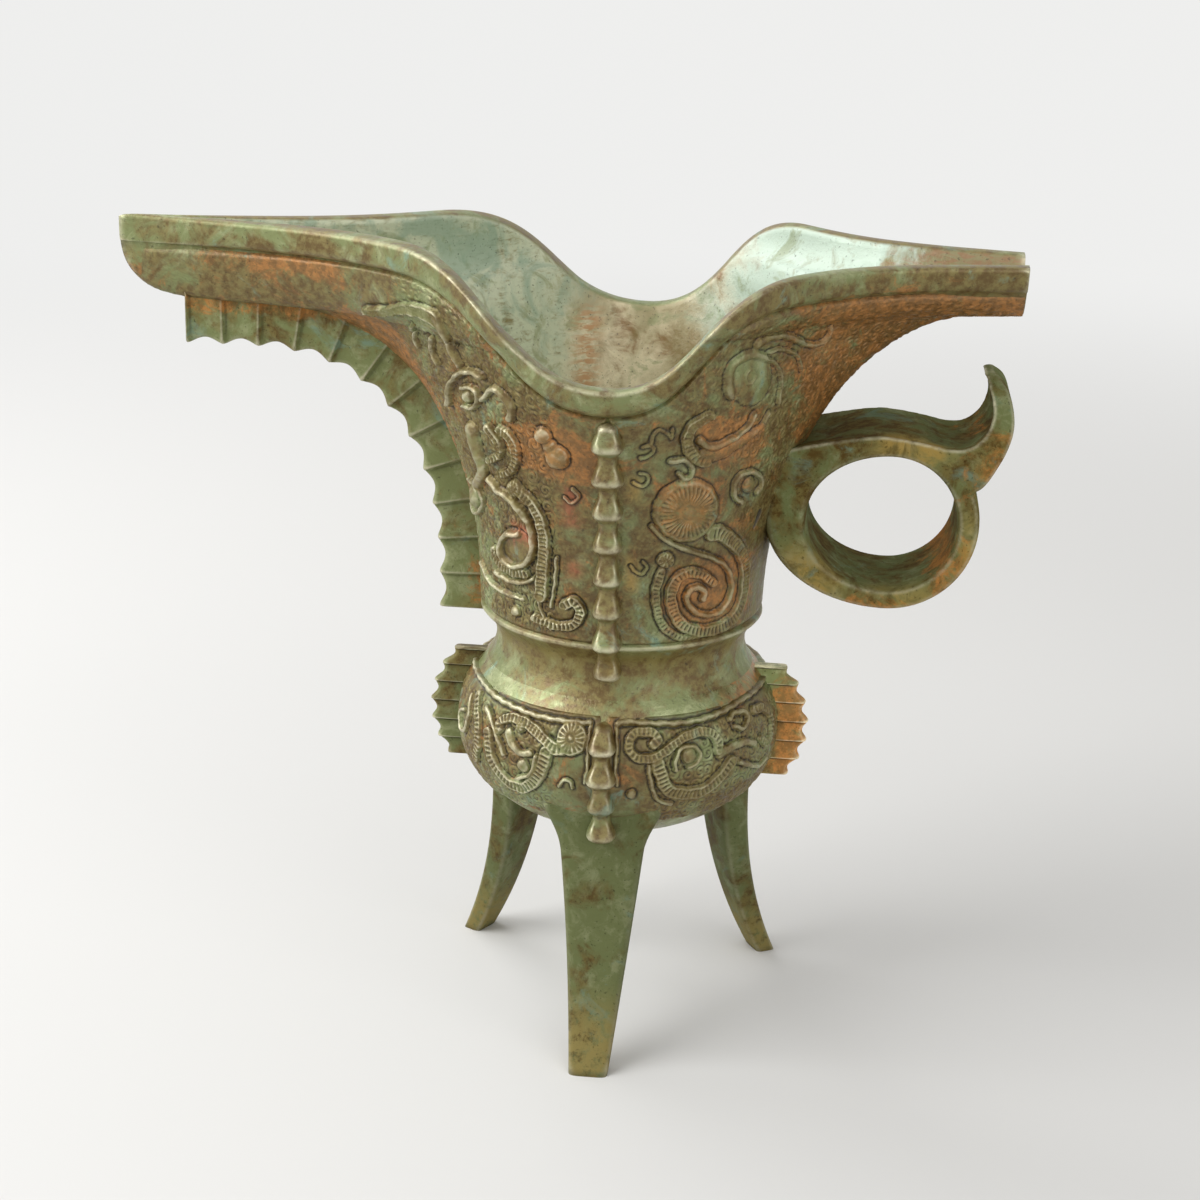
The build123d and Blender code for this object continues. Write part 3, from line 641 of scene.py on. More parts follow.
# upper edge, lower edge and half width along the strap
strapLine = [((26.5, 108.6), (26.5, 101.0), 11.0), ((31.0, 110.0), (33.8, 104.0), 11.0),
             ((38.3, 111.6), (39.8, 108.6), 11.0), ((45.2, 112.6), (46.0, 110.7), 11.0),
             ((52.3, 111.8), (52.3, 109.8), 11.0), ((57.0, 110.9), (57.8, 106.1), 11.0),
             ((60.2, 111.4), (62.1, 103.6), 11.0), ((62.6, 113.6), (65.6, 108.6), 10.9),
             ((63.6, 116.6), (67.4, 113.6), 10.3), ((63.4, 119.3), (67.3, 117.6), 9.2),
             ((62.6, 121.6), (66.0, 121.0), 6.8), ((61.9, 123.0), (63.6, 123.4), 2.8)]


# keep the roots from coming out inside the cup
def keptInWall(x, y, z):
    wall = endRun(z, tailEnd) * np.sqrt(clip01(1 - (y / frontRun(z)) ** 2))
    return np.stack([np.maximum(x, wall - handle["rootDepth"]), y + 0 * x, z + 0 * x], -1)


def makeRing():
    turn = np.linspace(0, 2 * math.pi, handle["ringSteps"] + 1)[:, None]
    u, v = squareLoop(np.linspace(0, 2 * math.pi, handle["sectionSteps"] + 1)[None, :], handle["square"])
    left = np.cos(turn) < 0
    outer = handle["hole"] + handle["band"]
    holeX = np.cos(turn) * np.where(left, handle["holeLeft"], handle["hole"])
    bandX = np.cos(turn) * np.where(left, handle["bandLeft"], outer)
    holeZ, bandZ = np.sin(turn) * handle["hole"], np.sin(turn) * outer
    x = handle["ringX"] + (holeX + bandX) / 2 + u * (bandX - holeX) / 2
    z = handle["ringZ"] + (holeZ + bandZ) / 2 + u * (bandZ - holeZ) / 2
    return closeUp(tableMesh(keptInWall(x, v * handle["width"] / 2 + 0 * x, z)))


def makeStrap():
    rows, narrowed, under = handle["strapRows"], handle["narrowed"], handle["underSteps"]
    upper, lower, half = [smoothLine([np.atleast_1d(row[k]) for row in strapLine], rows) for k in range(3)]
    share = np.linspace(0, 1, rows)[:, None]
    leaf = smooth01((share - handle["leafFrom"]) / handle["leafOver"])
    deep = handle["dish"] + (handle["leafDish"] - handle["dish"]) * leaf
    deep = deep * smooth01((1 - share) / handle["tipFade"])
    thick = np.linalg.norm(upper - lower, axis=1)[:, None]
    # the section: over the top, down one side, back underneath and up the other side
    top = np.sin(np.linspace(-math.pi / 2, math.pi / 2, handle["topSteps"]))
    side = np.array(handle["sides"])
    out = np.ones(len(side))
    down = np.concatenate([0 * top, side, np.ones(under), side[::-1], [0.0]])
    below = np.linspace(narrowed, -narrowed, under)
    across = np.concatenate([top * narrowed, out, below, -out, top[:1] * narrowed])
    dish = np.concatenate([(1 - top ** 2) ** handle["dishPower"], np.zeros(len(down) - len(top))])
    line = upper[:, None, :] + (lower - upper)[:, None, :] * (down + deep / thick * dish)[..., None]
    return closeUp(tableMesh(keptInWall(line[..., 0], across * half, line[..., 1])))


# melt overlapping parts into one smooth casting
def melted(bm, voxel, rounds):
    mesh = bpy.data.meshes.new("melt")
    bm.to_mesh(mesh)
    bm.free()
    rough = bpy.data.objects.new("melt", mesh)
    bpy.context.scene.collection.objects.link(rough)
    remesh = rough.modifiers.new("melt", "REMESH")
    remesh.mode = "VOXEL"
    remesh.voxel_size = voxel * mm
    rough.modifiers.new("soften", "SMOOTH").iterations = rounds
    done = bpy.data.meshes.new_from_object(rough.evaluated_get(bpy.context.evaluated_depsgraph_get()))
    made = bmesh.new()
    made.from_mesh(done)
    bpy.data.objects.remove(rough)
    bpy.data.meshes.remove(mesh)
    bpy.data.meshes.remove(done)
    return made


casting = melted(mergeInto(makeRing(), makeStrap()), handle["voxel"], handle["soften"])
addPiece("fingerHandle", casting, "handle", ["handle"])
print("handle made")

# combs: plates of hollow panels between cross ridges, with a scalloped edge
combForm = dict(toothRows=26, scallopPower=1.3, ridgeAt=0.9, ridgeOver=0.1, pleatPower=1.2,
                roundFrom=0.9, roundOver=0.1, outSteps=(0, 0.15, 0.3, 0.45, 0.6, 0.75, 0.88, 0.94, 0.98, 1.0))
spoutComb = dict(teeth=12, depth=8.4, root=1.6, low=73.6, end=80.0, climb=0.78, scallop=1.15, panel=0.75,
                 ridge=1.55, steps=900)
bellyComb = dict(teeth=6, depth=6.0, root=1.6, low=44.5, high=65.4, scallop=1.1, panel=0.75,
                 ridge=1.5, steps=300)


# a comb's foot as a line of way out and height, and the way that its teeth point
def spoutCombLine():
    low, climb = spoutComb["low"], spoutComb["climb"]
    share = np.linspace(0, 1, spoutComb["steps"])
    z = low + (spoutEnd["floor"] - low) * np.sin(math.pi / 2 * clip01(share / climb))
    level = clip01((share - climb) / (1 - climb))
    x = endRun(np.maximum(z, cup["border"]), spoutEnd) + (spoutComb["end"] - spoutEnd["bend"]) * level
    run = np.stack([np.gradient(x), np.gradient(z)], -1)
    run /= np.linalg.norm(run, axis=1)[:, None]
    return np.stack([x, z], -1), np.stack([run[:, 1], -run[:, 0]], -1)


def bellyCombLine():
    z = np.linspace(bellyComb["low"], bellyComb["high"], bellyComb["steps"])
    return np.stack([bellyRadius(z), z], -1), np.stack([np.ones(len(z)), np.zeros(len(z))], -1)


def makeComb(line, comb, side):
    base, out = line
    ridgeAt = combForm["ridgeAt"]
    run = runAlong(base + out * comb["depth"])
    phase = np.linspace(0, comb["teeth"], comb["teeth"] * combForm["toothRows"] + 1)
    wanted = phase / comb["teeth"] * run[-1]
    base, out = [np.stack([np.interp(wanted, run, a[:, c]) for c in (0, 1)], -1) for a in (base, out)]
    f = phase - np.floor(phase)
    depth = comb["depth"] - comb["scallop"] * np.sin(math.pi * f) ** combForm["scallopPower"]
    falling = np.maximum(1 - f / ridgeAt, 0) ** combForm["pleatPower"]
    pleat = np.where(f < ridgeAt, falling, smooth01((f - ridgeAt) / combForm["ridgeOver"]))
    half = comb["panel"] + (comb["ridge"] - comb["panel"]) * pleat
    q = np.array(combForm["outSteps"])
    rounding = np.sqrt(1 - clip01((q - combForm["roundFrom"]) / combForm["roundOver"]) ** 2)
    far = np.concatenate([q, q[-2::-1], q[:1]])
    across = np.concatenate([-rounding, rounding[-2::-1], -rounding[:1]])
    reach = -comb["root"] + (comb["root"] + depth)[:, None] * far
    place = base[:, None, :] + out[:, None, :] * reach[..., None]
    return closeUp(tableMesh(np.stack([side * place[..., 0], half[:, None] * across, place[..., 1]], -1)))


addPiece("spoutComb", makeComb(spoutCombLine(), spoutComb, -1), "comb", ["spout_flange"])
addPiece("bellyCombSpout", makeComb(bellyCombLine(), bellyComb, -1), "comb", ["belly_flange_spout"])
addPiece("bellyCombTail", makeComb(bellyCombLine(), bellyComb, 1), "tailComb", ["belly_flange_tail"])
print("combs made")

# beaded ribs: each bead is narrow at its top and flares to a lip
ribForm = dict(beadRows=20, across=25, square=2.7, least=0.8, most=1.2, lipAt=0.72, lipOver=0.28,
               swellPower=1.3, endRound=0.18, thinnest=0.1, hollow=0.5, hollowAt=0.42,
               hollowLong=0.18, hollowWide=0.7)
cupRib = dict(beads=8, low=69.0, high=118.8, neck=3.2, lip=5.3, neckDepth=2.2, lipDepth=3.8, sink=1.0,
              seed=5)
bellyRib = dict(beads=4, low=39.8, high=63.0, neck=3.0, lip=5.0, neckDepth=2.0, lipDepth=3.4, sink=1.0,
                seed=8)


def cupFront(z):
    return np.where(z < cup["border"], neckRadius(z), frontRun(np.maximum(z, cup["border"])))


# the belly's front, with the front leg's face where that stands further out
def bellyFront(z):
    out, depth = legLine(frontLeg, clip01(z / legForm["rootHeight"]))[:2]
    return np.maximum(bellyRadius(z), out + depth / 2)


def makeRib(line, rib, side):
    form, beads = ribForm, rib["beads"]
    phase = np.linspace(0, beads, beads * form["beadRows"] + 1)
    z = rib["high"] + (rib["low"] - rib["high"]) * phase / beads
    f = phase - np.floor(phase)
    uneven = np.random.default_rng(rib["seed"]).uniform(form["least"], form["most"], (2, beads + 1))
    uneven = uneven[:, np.floor(phase).astype(int)]
    swell = smooth01(f / form["lipAt"]) ** form["swellPower"]
    swell = np.where(f < form["lipAt"], swell, smooth01((1 - f) / form["lipOver"]))
    rounded = np.sqrt(1 - (1 - clip01(np.minimum(phase, beads - phase) / form["endRound"])) ** 2)
    full = np.maximum(rounded, form["thinnest"])
    half = (rib["neck"] + (rib["lip"] - rib["neck"]) * swell * uneven[0]) / 2 * full
    depth = (rib["neckDepth"] + (rib["lipDepth"] - rib["neckDepth"]) * swell * uneven[1]) * full
    u, v = squareLoop(np.linspace(-math.pi / 2, math.pi / 2, form["across"]), form["square"])
    u, v = np.concatenate([[-1], u, [-1, -1]]), np.concatenate([[v[0]], v, [v[-1], v[0]]])
    hollow = form["hollow"] * np.exp(-((f[:, None] - form["hollowAt"]) / form["hollowLong"]) ** 2)
    hollow = hollow * clip01(1 - (v / form["hollowWide"]) ** 2)
    out = np.where(u < 0, -rib["sink"], depth[:, None] * u - hollow * rounded[:, None])
    x = half[:, None] * v
    y = side * (line(z)[:, None] + out)
    return closeUp(tableMesh(np.stack([x, y, z[:, None] + 0 * x], -1)))


addPiece("cupRibFront", makeRib(cupFront, cupRib, -1), "rib", ["cup_flange_front"])
addPiece("cupRibRear", makeRib(cupFront, cupRib, 1), "rib", ["cup_flange_rear"])
addPiece("bellyRibFront", makeRib(bellyFront, bellyRib, -1), "rib", ["belly_flange_front"])
addPiece("bellyRibRear", makeRib(bellyRadius, bellyRib, 1), "rib", ["belly_flange_rear"])
print("ribs made")

# relief panels: strokes drawn on the wall as (kind, first width, last width, height, points), the points as
# the way round from the front rib and the height above the feet in turn; a boss gives its radius and the
# number of its ribs, a ring its radius and its width
reliefForm = dict(base=0.25, sink=0.55, hatch=0.8, trench=0.6, trenchDeep=0.25, step=0.12, back=0.9,
                  backRows=30, groundTo=0.25, spoutFrom=-60, backShare=0.6, edgeColumns=5)
cupPanel = dict(columns=306, rows=284, low=0.45, underLip=0.1, curl=2.4, thread=0.82, crowd=1.2, short=0.15,
                arcLevels=240, arcSteps=400, edgeRows=5, tipFrom=86, tipOver=4, sinkShare=0.5, tailHigh=0.8,
                spoutHigh=1.25)
cupTailRelief = [
    ("band", 1.6, 1.4, 0.6, [9.1, 90.9, 8.2, 87.6, 8.4, 84.2, 9.6, 80.5, 12.5, 78.0, 16.4, 76.9]),
    ("band", 3.1, 1.7, 1.1, [18.4, 97.4, 20.4, 96.9, 24.4, 93.6, 26.8, 89.5, 27.1, 85.6, 26.4, 82.0,
        24.0, 79.5, 20.1, 78.4, 16.3, 78.7, 13.2, 80.2, 11.3, 83.3, 10.8, 86.6, 11.9, 89.3, 14.0, 90.3,
        16.7, 89.5, 19.0, 87.6]),
    ("plain", 0.9, 1.3, 1.15, [7.3, 99.8, 9.6, 97.1, 13.5, 94.8, 17.4, 93.1, 21.3, 90.7, 23.2, 87.3,
        23.1, 84.4, 20.9, 81.8, 17.4, 81.6, 14.8, 83.2, 13.7, 85.3, 14.4, 87.0, 16.0, 87.2, 17.2, 86.1,
        17.0, 84.9]),
    ("boss", 1.5, 9, 0.8, [9.8, 93.1]),
    ("boss", 6.1, 34, 1.45, [13.5, 102.3]),
    ("plain", 1.3, 1.2, 1.0, [8.6, 103.5, 9.4, 101.0, 11.4, 99.9]),
    ("plain", 1.1, 0.9, 0.9, [10.4, 111.8, 12.6, 112.1, 14.1, 110.6, 14.1, 109.3, 12.9, 108.5, 11.8, 109.4]),
    ("band", 1.5, 2.4, 1.25, [17.4, 120.0, 16.3, 119.6, 14.4, 118.6, 13.3, 116.8, 13.4, 114.5, 14.5, 112.6,
        16.4, 111.5]),
    ("plain", 2.8, 0.8, 0.75, [16.5, 112.5, 19.5, 112.6, 22.8, 113.7, 25.9, 114.9, 28.8, 116.4, 30.3, 118.4]),
    ("plain", 1.5, 0.8, 1.1, [15.5, 115.4, 17.3, 114.1, 19.8, 114.4, 22.7, 115.4, 25.1, 116.8, 26.8, 119.0]),
    ("boss", 4.9, 0, 0.55, [26.2, 125.4]),
    ("plain", 2.0, 1.6, 1.1, [21.3, 123.2, 20.8, 125.6, 21.4, 128.0, 23.4, 129.4, 26.3, 129.8, 29.1, 128.7]),
    ("plain", 0.7, 0.7, 1.0, [29.1, 128.7, 32.4, 126.8, 33.5, 123.9, 32.7, 120.0]),
    ("ring", 1.15, 0.7, 0.95, [25.5, 125.9]),
    ("plain", 1.7, 0.9, 0.9, [27.0, 131.3, 28.5, 131.9, 30.8, 132.3, 34.0, 132.0, 37.6, 130.6, 40.9, 129.2,
        44.1, 129.1, 45.7, 130.3, 45.9, 131.8]),
    ("plain", 0.8, 0.7, 0.7, [30.2, 129.5, 33.0, 129.6, 36.5, 128.5, 38.5, 126.9, 39.1, 124.8]),
    ("plain", 1.2, 0.9, 0.9, [24.6, 102.4, 23.1, 103.5, 22.7, 105.5, 23.6, 107.5, 26.4, 107.9, 29.2, 106.4,
        29.6, 104.4, 28.4, 103.3]),
    ("boss", 1.5, 0, 0.75, [26.3, 105.3]),
    ("plain", 0.6, 0.5, 0.4, [5.3, 112.5, 6.8, 113.0, 7.6, 114.2, 6.9, 114.9, 5.6, 114.5]),
    ("plain", 0.6, 0.5, 0.4, [7.2, 115.3, 7.4, 116.8, 8.6, 117.7, 10.0, 116.9, 10.5, 116.2, 10.7, 117.8]),
    ("plain", 0.6, 0.5, 0.4, [4.2, 108.0, 5.6, 107.2, 6.6, 108.0, 6.4, 109.4, 5.2, 109.6]),
    ("plain", 0.6, 0.5, 0.35, [3.8, 92.0, 5.4, 90.4, 6.6, 91.6, 5.8, 92.8]),
    ("groove", 1.5, 0.7, 0.5, [30.6, 98.8, 29.1, 96.1])]
cupSpoutRelief = [
    ("band", 1.8, 2.5, 1.05, [17.0, 104.3, 14.3, 102.8, 12.4, 100.4, 11.4, 96.9, 11.3, 93.3, 11.6, 90.0,
        11.8, 86.9, 12.0, 84.6]),
    ("boss", 4.0, 0, 0.35, [17.6, 92.2]),
    ("plain", 1.4, 1.3, 1.25, [17.1, 95.3, 19.3, 94.9, 21.3, 92.8, 21.5, 90.5, 19.7, 89.1, 16.8, 89.2,
        14.3, 91.3, 13.5, 94.4, 14.1, 97.8, 15.9, 100.3, 18.4, 102.0, 21.1, 102.9, 24.0, 104.4]),
    ("groove", 2.6, 1.0, 0.7, [18.6, 92.2, 16.4, 91.3]),
    ("boss", 1.7, 10, 1.0, [17.4, 104.2]),
    ("band", 1.5, 1.7, 0.9, [24.2, 90.3, 22.4, 88.2, 18.9, 87.5, 15.4, 88.0]),
    ("plain", 1.3, 0.9, 1.1, [23.1, 86.1, 18.4, 85.8, 15.0, 86.6, 13.5, 87.6]),
    ("plain", 1.1, 0.8, 0.8, [31.5, 85.3, 26.2, 83.3, 21.2, 82.8, 15.9, 83.0]),
    ("boss", 1.6, 0, 0.9, [11.2, 115.4]),
    ("boss", 1.4, 0, 0.7, [10.0, 113.5]),
    ("boss", 2.2, 0, 1.0, [8.6, 111.7]),
    ("band", 1.6, 1.5, 1.1, [20.2, 114.9, 18.1, 114.2, 16.8, 112.2, 16.8, 109.7, 18.0, 107.4, 20.4, 106.3]),
    ("band", 1.6, 1.5, 1.2, [23.2, 114.6, 21.4, 113.1, 20.3, 111.5, 20.8, 109.7, 23.1, 108.4]),
    ("plain", 4.0, 2.4, 1.1, [28.6, 112.4, 27.3, 108.8, 26.1, 105.4, 29.2, 101.6]),
    ("boss", 2.4, 0, 1.1, [31.3, 98.5]),
    ("plain", 1.4, 1.2, 1.2, [35.7, 116.1, 34.4, 120.1, 30.7, 123.2, 26.5, 124.1, 24.4, 123.7]),
    ("plain", 1.0, 1.0, 1.0, [30.6, 120.4, 27.2, 121.0, 25.6, 119.8, 27.1, 117.4, 30.4, 117.0]),
    ("boss", 1.4, 0, 1.0, [29.1, 119.0]),
    ("plain", 1.0, 1.8, 0.9, [24.7, 119.4, 21.7, 122.1, 19.2, 121.3, 17.5, 119.6, 17.8, 117.4]),
    ("band", 1.2, 2.6, 1.2, [54.5, 130.7, 48.8, 131.5, 44.7, 132.6, 41.1, 133.2, 36.9, 133.2, 34.4, 132.7]),
    ("plain", 2.2, 1.6, 1.0, [34.4, 132.7, 33.1, 130.3, 33.2, 127.2, 31.2, 124.5]),
    ("plain", 1.0, 0.8, 0.9, [39.3, 127.9, 40.0, 124.9, 38.4, 123.0]),
    ("plain", 0.9, 0.7, 0.8, [43.0, 129.9, 45.1, 126.8, 44.5, 124.9]),
    ("plain", 0.9, 0.8, 0.8, [33.6, 101.6, 28.9, 101.4, 27.3, 98.4, 31.8, 95.0, 36.6, 95.6]),
    ("boss", 1.1, 0, 0.9, [17.9, 80.1]),
    ("band", 1.4, 1.9, 0.95, [13.4, 80.0, 11.2, 79.7, 8.2, 79.4, 5.7, 80.3, 4.6, 82.7, 5.7, 84.6, 7.5, 83.8]),
    ("plain", 0.6, 0.5, 0.45, [12.8, 83.4, 11.8, 80.9, 10.0, 78.5]),
    ("plain", 0.7, 0.6, 0.5, [9.1, 92.3, 9.4, 87.7, 10.2, 82.8]),
    ("plain", 0.6, 0.5, 0.35, [6.0, 106.0, 5.0, 104.6, 6.2, 103.4, 7.6, 104.2])]


# heights of the fine thread curls that fill the ground, one curl to a cell
def threadCurls(s, z, size, pitch, seed):
    rng = np.random.default_rng(seed)
    i, j = np.floor(s / size).astype(int) + 2, np.floor(z / size).astype(int) + 2
    jitter = rng.random((i.max() + 4, j.max() + 4, 4))
    best, second, wave = np.full(s.shape, 99.0), np.full(s.shape, 99.0), np.zeros(s.shape)
    for di in (-1, 0, 1):
        for dj in (-1, 0, 1):
            cell = jitter[i + di, j + dj]
            ds = s - (i + di - 2 + 0.2 + 0.6 * cell[..., 0]) * size
            dz = z - (j + dj - 2 + 0.2 + 0.6 * cell[..., 1]) * size
            far = np.hypot(ds, dz)
            hand = np.where(cell[..., 2] < 0.5, -1, 1)
            here = np.cos(2 * math.pi * far / pitch + hand * np.arctan2(dz, ds) + 6.3 * cell[..., 3])
            nearer = far < best
            second = np.where(nearer, best, np.minimum(second, far))
            wave = np.where(nearer, here, wave)
            best = np.where(nearer, far, best)
    return (0.5 + 0.5 * wave) * smooth01((second - best) / 0.5) * smooth01(best / 0.5)


# heights of the raised strokes, drawn a little unevenly, and how near the ground lies to their edges
def strokeHeights(s, z, strokes):
    s, z = (s + 0.07 * np.sin(2.3 * z + 1.7 * np.sin(0.9 * s)) + 0.02 * np.sin(5.7 * s + 4.1 * z),
            z + 0.07 * np.sin(2.1 * s + 1.9 * np.sin(0.8 * z)) + 0.02 * np.sin(4.7 * s - 5.3 * z))
    high, trench = np.zeros(s.shape), np.zeros(s.shape)
    for kind, first, last, tall, points in strokes:
        line = np.reshape(points, (-1, 2))
        single = len(line) == 1
        if not single:
            line = smoothLine(line, int(runAlong(line)[-1] / reliefForm["step"]) + 2)
        reach = (first if single else max(first, last) / 2) + 2 * reliefForm["trench"] + 0.4
        near = np.all([s > line[:, 0].min() - reach, s < line[:, 0].max() + reach,
                       z > line[:, 1].min() - reach, z < line[:, 1].max() + reach], axis=0)
        ds, dz = s[near][:, None] - line[:, 0], z[near][:, None] - line[:, 1]
        far = ds * ds + dz * dz
        k = far.argmin(1)
        far = np.sqrt(far[np.arange(len(k)), k])
        run = runAlong(line)
        if single:
            half = first + (last / 2 if kind == "ring" else 0)
        else:
            half = (first + (last - first) * run[k] / run[-1]) / 2
        q = clip01(far / half)
        if kind == "band":
            up = tall * np.sqrt(1 - q ** 6) * (0.72 + 0.28 * np.exp(-((q - 0.8) / 0.17) ** 2))
            up += 0.15 * np.cos(2 * math.pi * run[k] / reliefForm["hatch"]) * smooth01((0.74 - q) / 0.2)
        elif kind == "boss":
            up = tall * np.sqrt(1 - q ** 2.2)
            if last:
                ribs = np.cos(last * np.arctan2(dz[:, 0], ds[:, 0]))
                up += 0.17 * ribs * smooth01((q - 0.25) / 0.15) * smooth01((0.86 - q) / 0.1)
                up += 0.22 * np.exp(-((q - 0.88) / 0.06) ** 2) - 0.25 * np.exp(-((q - 0.2) / 0.09) ** 2)
        elif kind == "ring":
            up = tall * np.sqrt(np.maximum(1 - ((far - first) / (last / 2)) ** 2, 0))
        else:
            up = tall * (1 - q ** 2) ** 0.6
        if kind == "groove":
            trench[near] = np.maximum(trench[near], np.where(far < half, up / reliefForm["trenchDeep"], 0))
            continue
        high[near] = np.maximum(high[near], np.where(far < half, up, 0))
        beside = smooth01(1 - (far - half) / reliefForm["trench"]) * (far >= half)
        trench[near] = np.maximum(trench[near], beside)
    return high * (0.9 + 0.1 * np.sin(1.3 * s + 2.2 * np.sin(0.7 * z)) * np.sin(1.1 * z)), trench


def outward(base):
    normal = np.cross(np.gradient(base, axis=1), np.gradient(base, axis=0))
    normal /= np.linalg.norm(normal, axis=2)[..., None] + 1e-12
    away = base[:, :20] * np.array([1, 1, 0])
    normal = normal * np.sign((normal[:, :20] * away).sum())
    normal[:, -1, 1] = 0.0
    return normal


# one over a panel, falling to nothing at its lower, upper and front edge
def edgeFade(shape, rows):
    row = np.arange(shape[0])[:, None]
    column = np.arange(shape[1])[None, :]
    return smooth01(np.minimum(row, row[::-1]) / rows) * smooth01(column / reliefForm["edgeColumns"])


# a closed panel: the worked face, sunk into the wall at its edges, and a coarse back inside the wall
def closedPanel(base, high, trench, fine, fade, sink):
    up = high + (fine - reliefForm["trenchDeep"] * trench) * (1 - clip01(high / reliefForm["groundTo"]))
    values = clip01((up + 0.3) / 1.6)
    up = -sink + (up + reliefForm["base"] + sink) * fade
    normal = outward(base)
    face = base + normal * up[..., None]
    pick = np.unique(np.linspace(0, base.shape[0] - 1, reliefForm["backRows"]).round().astype(int))
    thin = np.minimum(reliefForm["back"], reliefForm["backShare"] * np.abs(base[..., 1:2]))
    inward = np.where(base[..., :1] < reliefForm["spoutFrom"], thin, reliefForm["back"])
    back = (base - normal * inward)[pick]
    back[0], back[-1] = face[0], face[-1]
    bm = tableMesh(face, {"relief": values})
    return closeUp(mergeInto(bm, tableMesh(back, {"relief": np.full(back.shape[:2], 0.3)})))


def makeCupPanel(strokes, end, seed, threads):
    panel, levels, steps = cupPanel, cupPanel["arcLevels"], cupPanel["arcSteps"]
    base, turn = wallQuarter(end, panel["columns"], cup["border"] + panel["low"],
                             cup["lipHeight"] + panel["underLip"], panel["rows"], crowd=panel["crowd"])
    # the way round from the front, read from a table of arcs
    heights = np.linspace(cup["border"], spoutEnd["rim"], levels)
    quarter = np.linspace(math.pi / 2, 0.0 if end is tailEnd else math.pi, steps)
    arcs = np.stack([runAlong(wallPoint(quarter, np.full(steps, h))) for h in heights])
    z = base[..., 2]
    i, j = (z - heights[0]) / (heights[1] - heights[0]), (turn - quarter[0]) / (quarter[1] - quarter[0])
    i0, j0 = np.clip(i.astype(int), 0, levels - 2), np.clip(j.astype(int), 0, steps - 2)
    i, j = i - i0, j - j0
    s = ((arcs[i0, j0] * (1 - j) + arcs[i0, j0 + 1] * j) * (1 - i)
         + (arcs[i0 + 1, j0] * (1 - j) + arcs[i0 + 1, j0 + 1] * j) * i)
    high, trench = strokeHeights(s, z, strokes)
    high = high * panel["tailHigh" if end is tailEnd else "spoutHigh"]
    fine = threadCurls(s, z, panel["curl"], panel["thread"], seed) * threads(s, z)
    tip = smooth01((-base[..., 0] - panel["tipFrom"]) / panel["tipOver"])
    fade = edgeFade(z.shape, panel["edgeRows"]) * (1 - tip)
    sink = np.minimum(reliefForm["sink"], panel["sinkShare"] * np.abs(base[..., 1]))
    return cutTail(closedPanel(base, high, trench, fine, fade, sink), panel["short"])


# how high the threads stand over each panel
def tailThreads(s, z):
    return 0.06 + 0.12 * smooth01((s + z - 128) / 14)


def spoutThreads(s, z):
    field = smooth01((s - 8) / 3) * smooth01((z - 77) / 2) * smooth01((52 - s) / 10)
    return 0.05 + 0.24 * field + 0.04 * smooth01((s - 45) / 6)


def addMirrored(front, rear, bm, nodes):
    addPiece(rear, mirrored(bm), "relief", nodes[1:])
    addPiece(front, bm, "relief", nodes[:1])


addMirrored("cupScrollFrontTail", "cupScrollRearTail", makeCupPanel(cupTailRelief, tailEnd, 11, tailThreads),
            ["cup_scroll_front_tail", "cup_scroll_rear_tail"])
addMirrored("cupScrollFrontSpout", "cupScrollRearSpout", makeCupPanel(cupSpoutRelief, spoutEnd, 23,
            spoutThreads), ["cup_scroll_front_spout", "cup_scroll_rear_spout"])
print("cup relief made")

bellyPanel = dict(columns=230, rows=150, low=42.6, high=64.6, curl=2.3, thread=0.9, threadHigh=0.20,
                  edgeRows=9)
bellySpoutRelief = [
    ("plain", 1.0, 1.0, 0.8, [44.0, 63.6, 33.4, 63.6, 24.9, 62.8, 18.8, 62.5, 13.9, 62.3, 10.2, 62.3,
        5.9, 62.4, 2.6, 62.6]),
    ("boss", 2.9, 17, 1.2, [5.6, 59.8]),
    ("band", 2.2, 1.5, 1.0, [7.2, 57.8, 8.6, 57.8, 10.7, 59.0, 13.7, 60.4, 16.7, 60.9, 19.3, 60.6, 20.9, 59.5,
        20.9, 58.2]),
    ("boss", 1.0, 8, 1.3, [15.9, 60.0]),
    ("band", 2.0, 2.4, 1.05, [23.6, 57.0, 23.0, 55.0, 22.1, 52.4, 20.2, 50.3, 17.6, 49.0, 14.5, 49.3,
        11.9, 51.6, 10.6, 54.3, 10.0, 56.8]),
    ("plain", 0.9, 0.9, 1.2, [15.9, 50.8, 13.4, 52.0, 12.2, 53.9, 11.9, 55.9]),
    ("plain", 1.9, 1.3, 0.8, [18.5, 58.4, 17.3, 56.7, 15.1, 55.6, 13.3, 56.0]),
    ("boss", 1.3, 0, 0.8, [14.6, 53.4]),
    ("plain", 1.1, 0.8, 1.0, [25.5, 60.6, 23.6, 59.4, 20.8, 56.9, 18.9, 54.4]),
    ("band", 1.7, 1.7, 0.9, [30.0, 61.4, 28.6, 59.4, 27.0, 57.0, 26.6, 53.6, 28.0, 50.6]),
    ("plain", 1.0, 0.8, 0.8, [32.6, 60.6, 31.2, 57.4, 32.4, 54.2, 35.4, 53.8, 36.0, 56.6, 34.0, 57.4]),
    ("plain", 0.7, 0.6, 0.6, [7.5, 51.0, 6.7, 52.3, 5.3, 52.2, 5.1, 51.0]),
    ("plain", 0.7, 0.7, 0.5, [2.4, 62.5, 2.6, 58.7, 2.4, 55.2, 2.9, 52.3])]
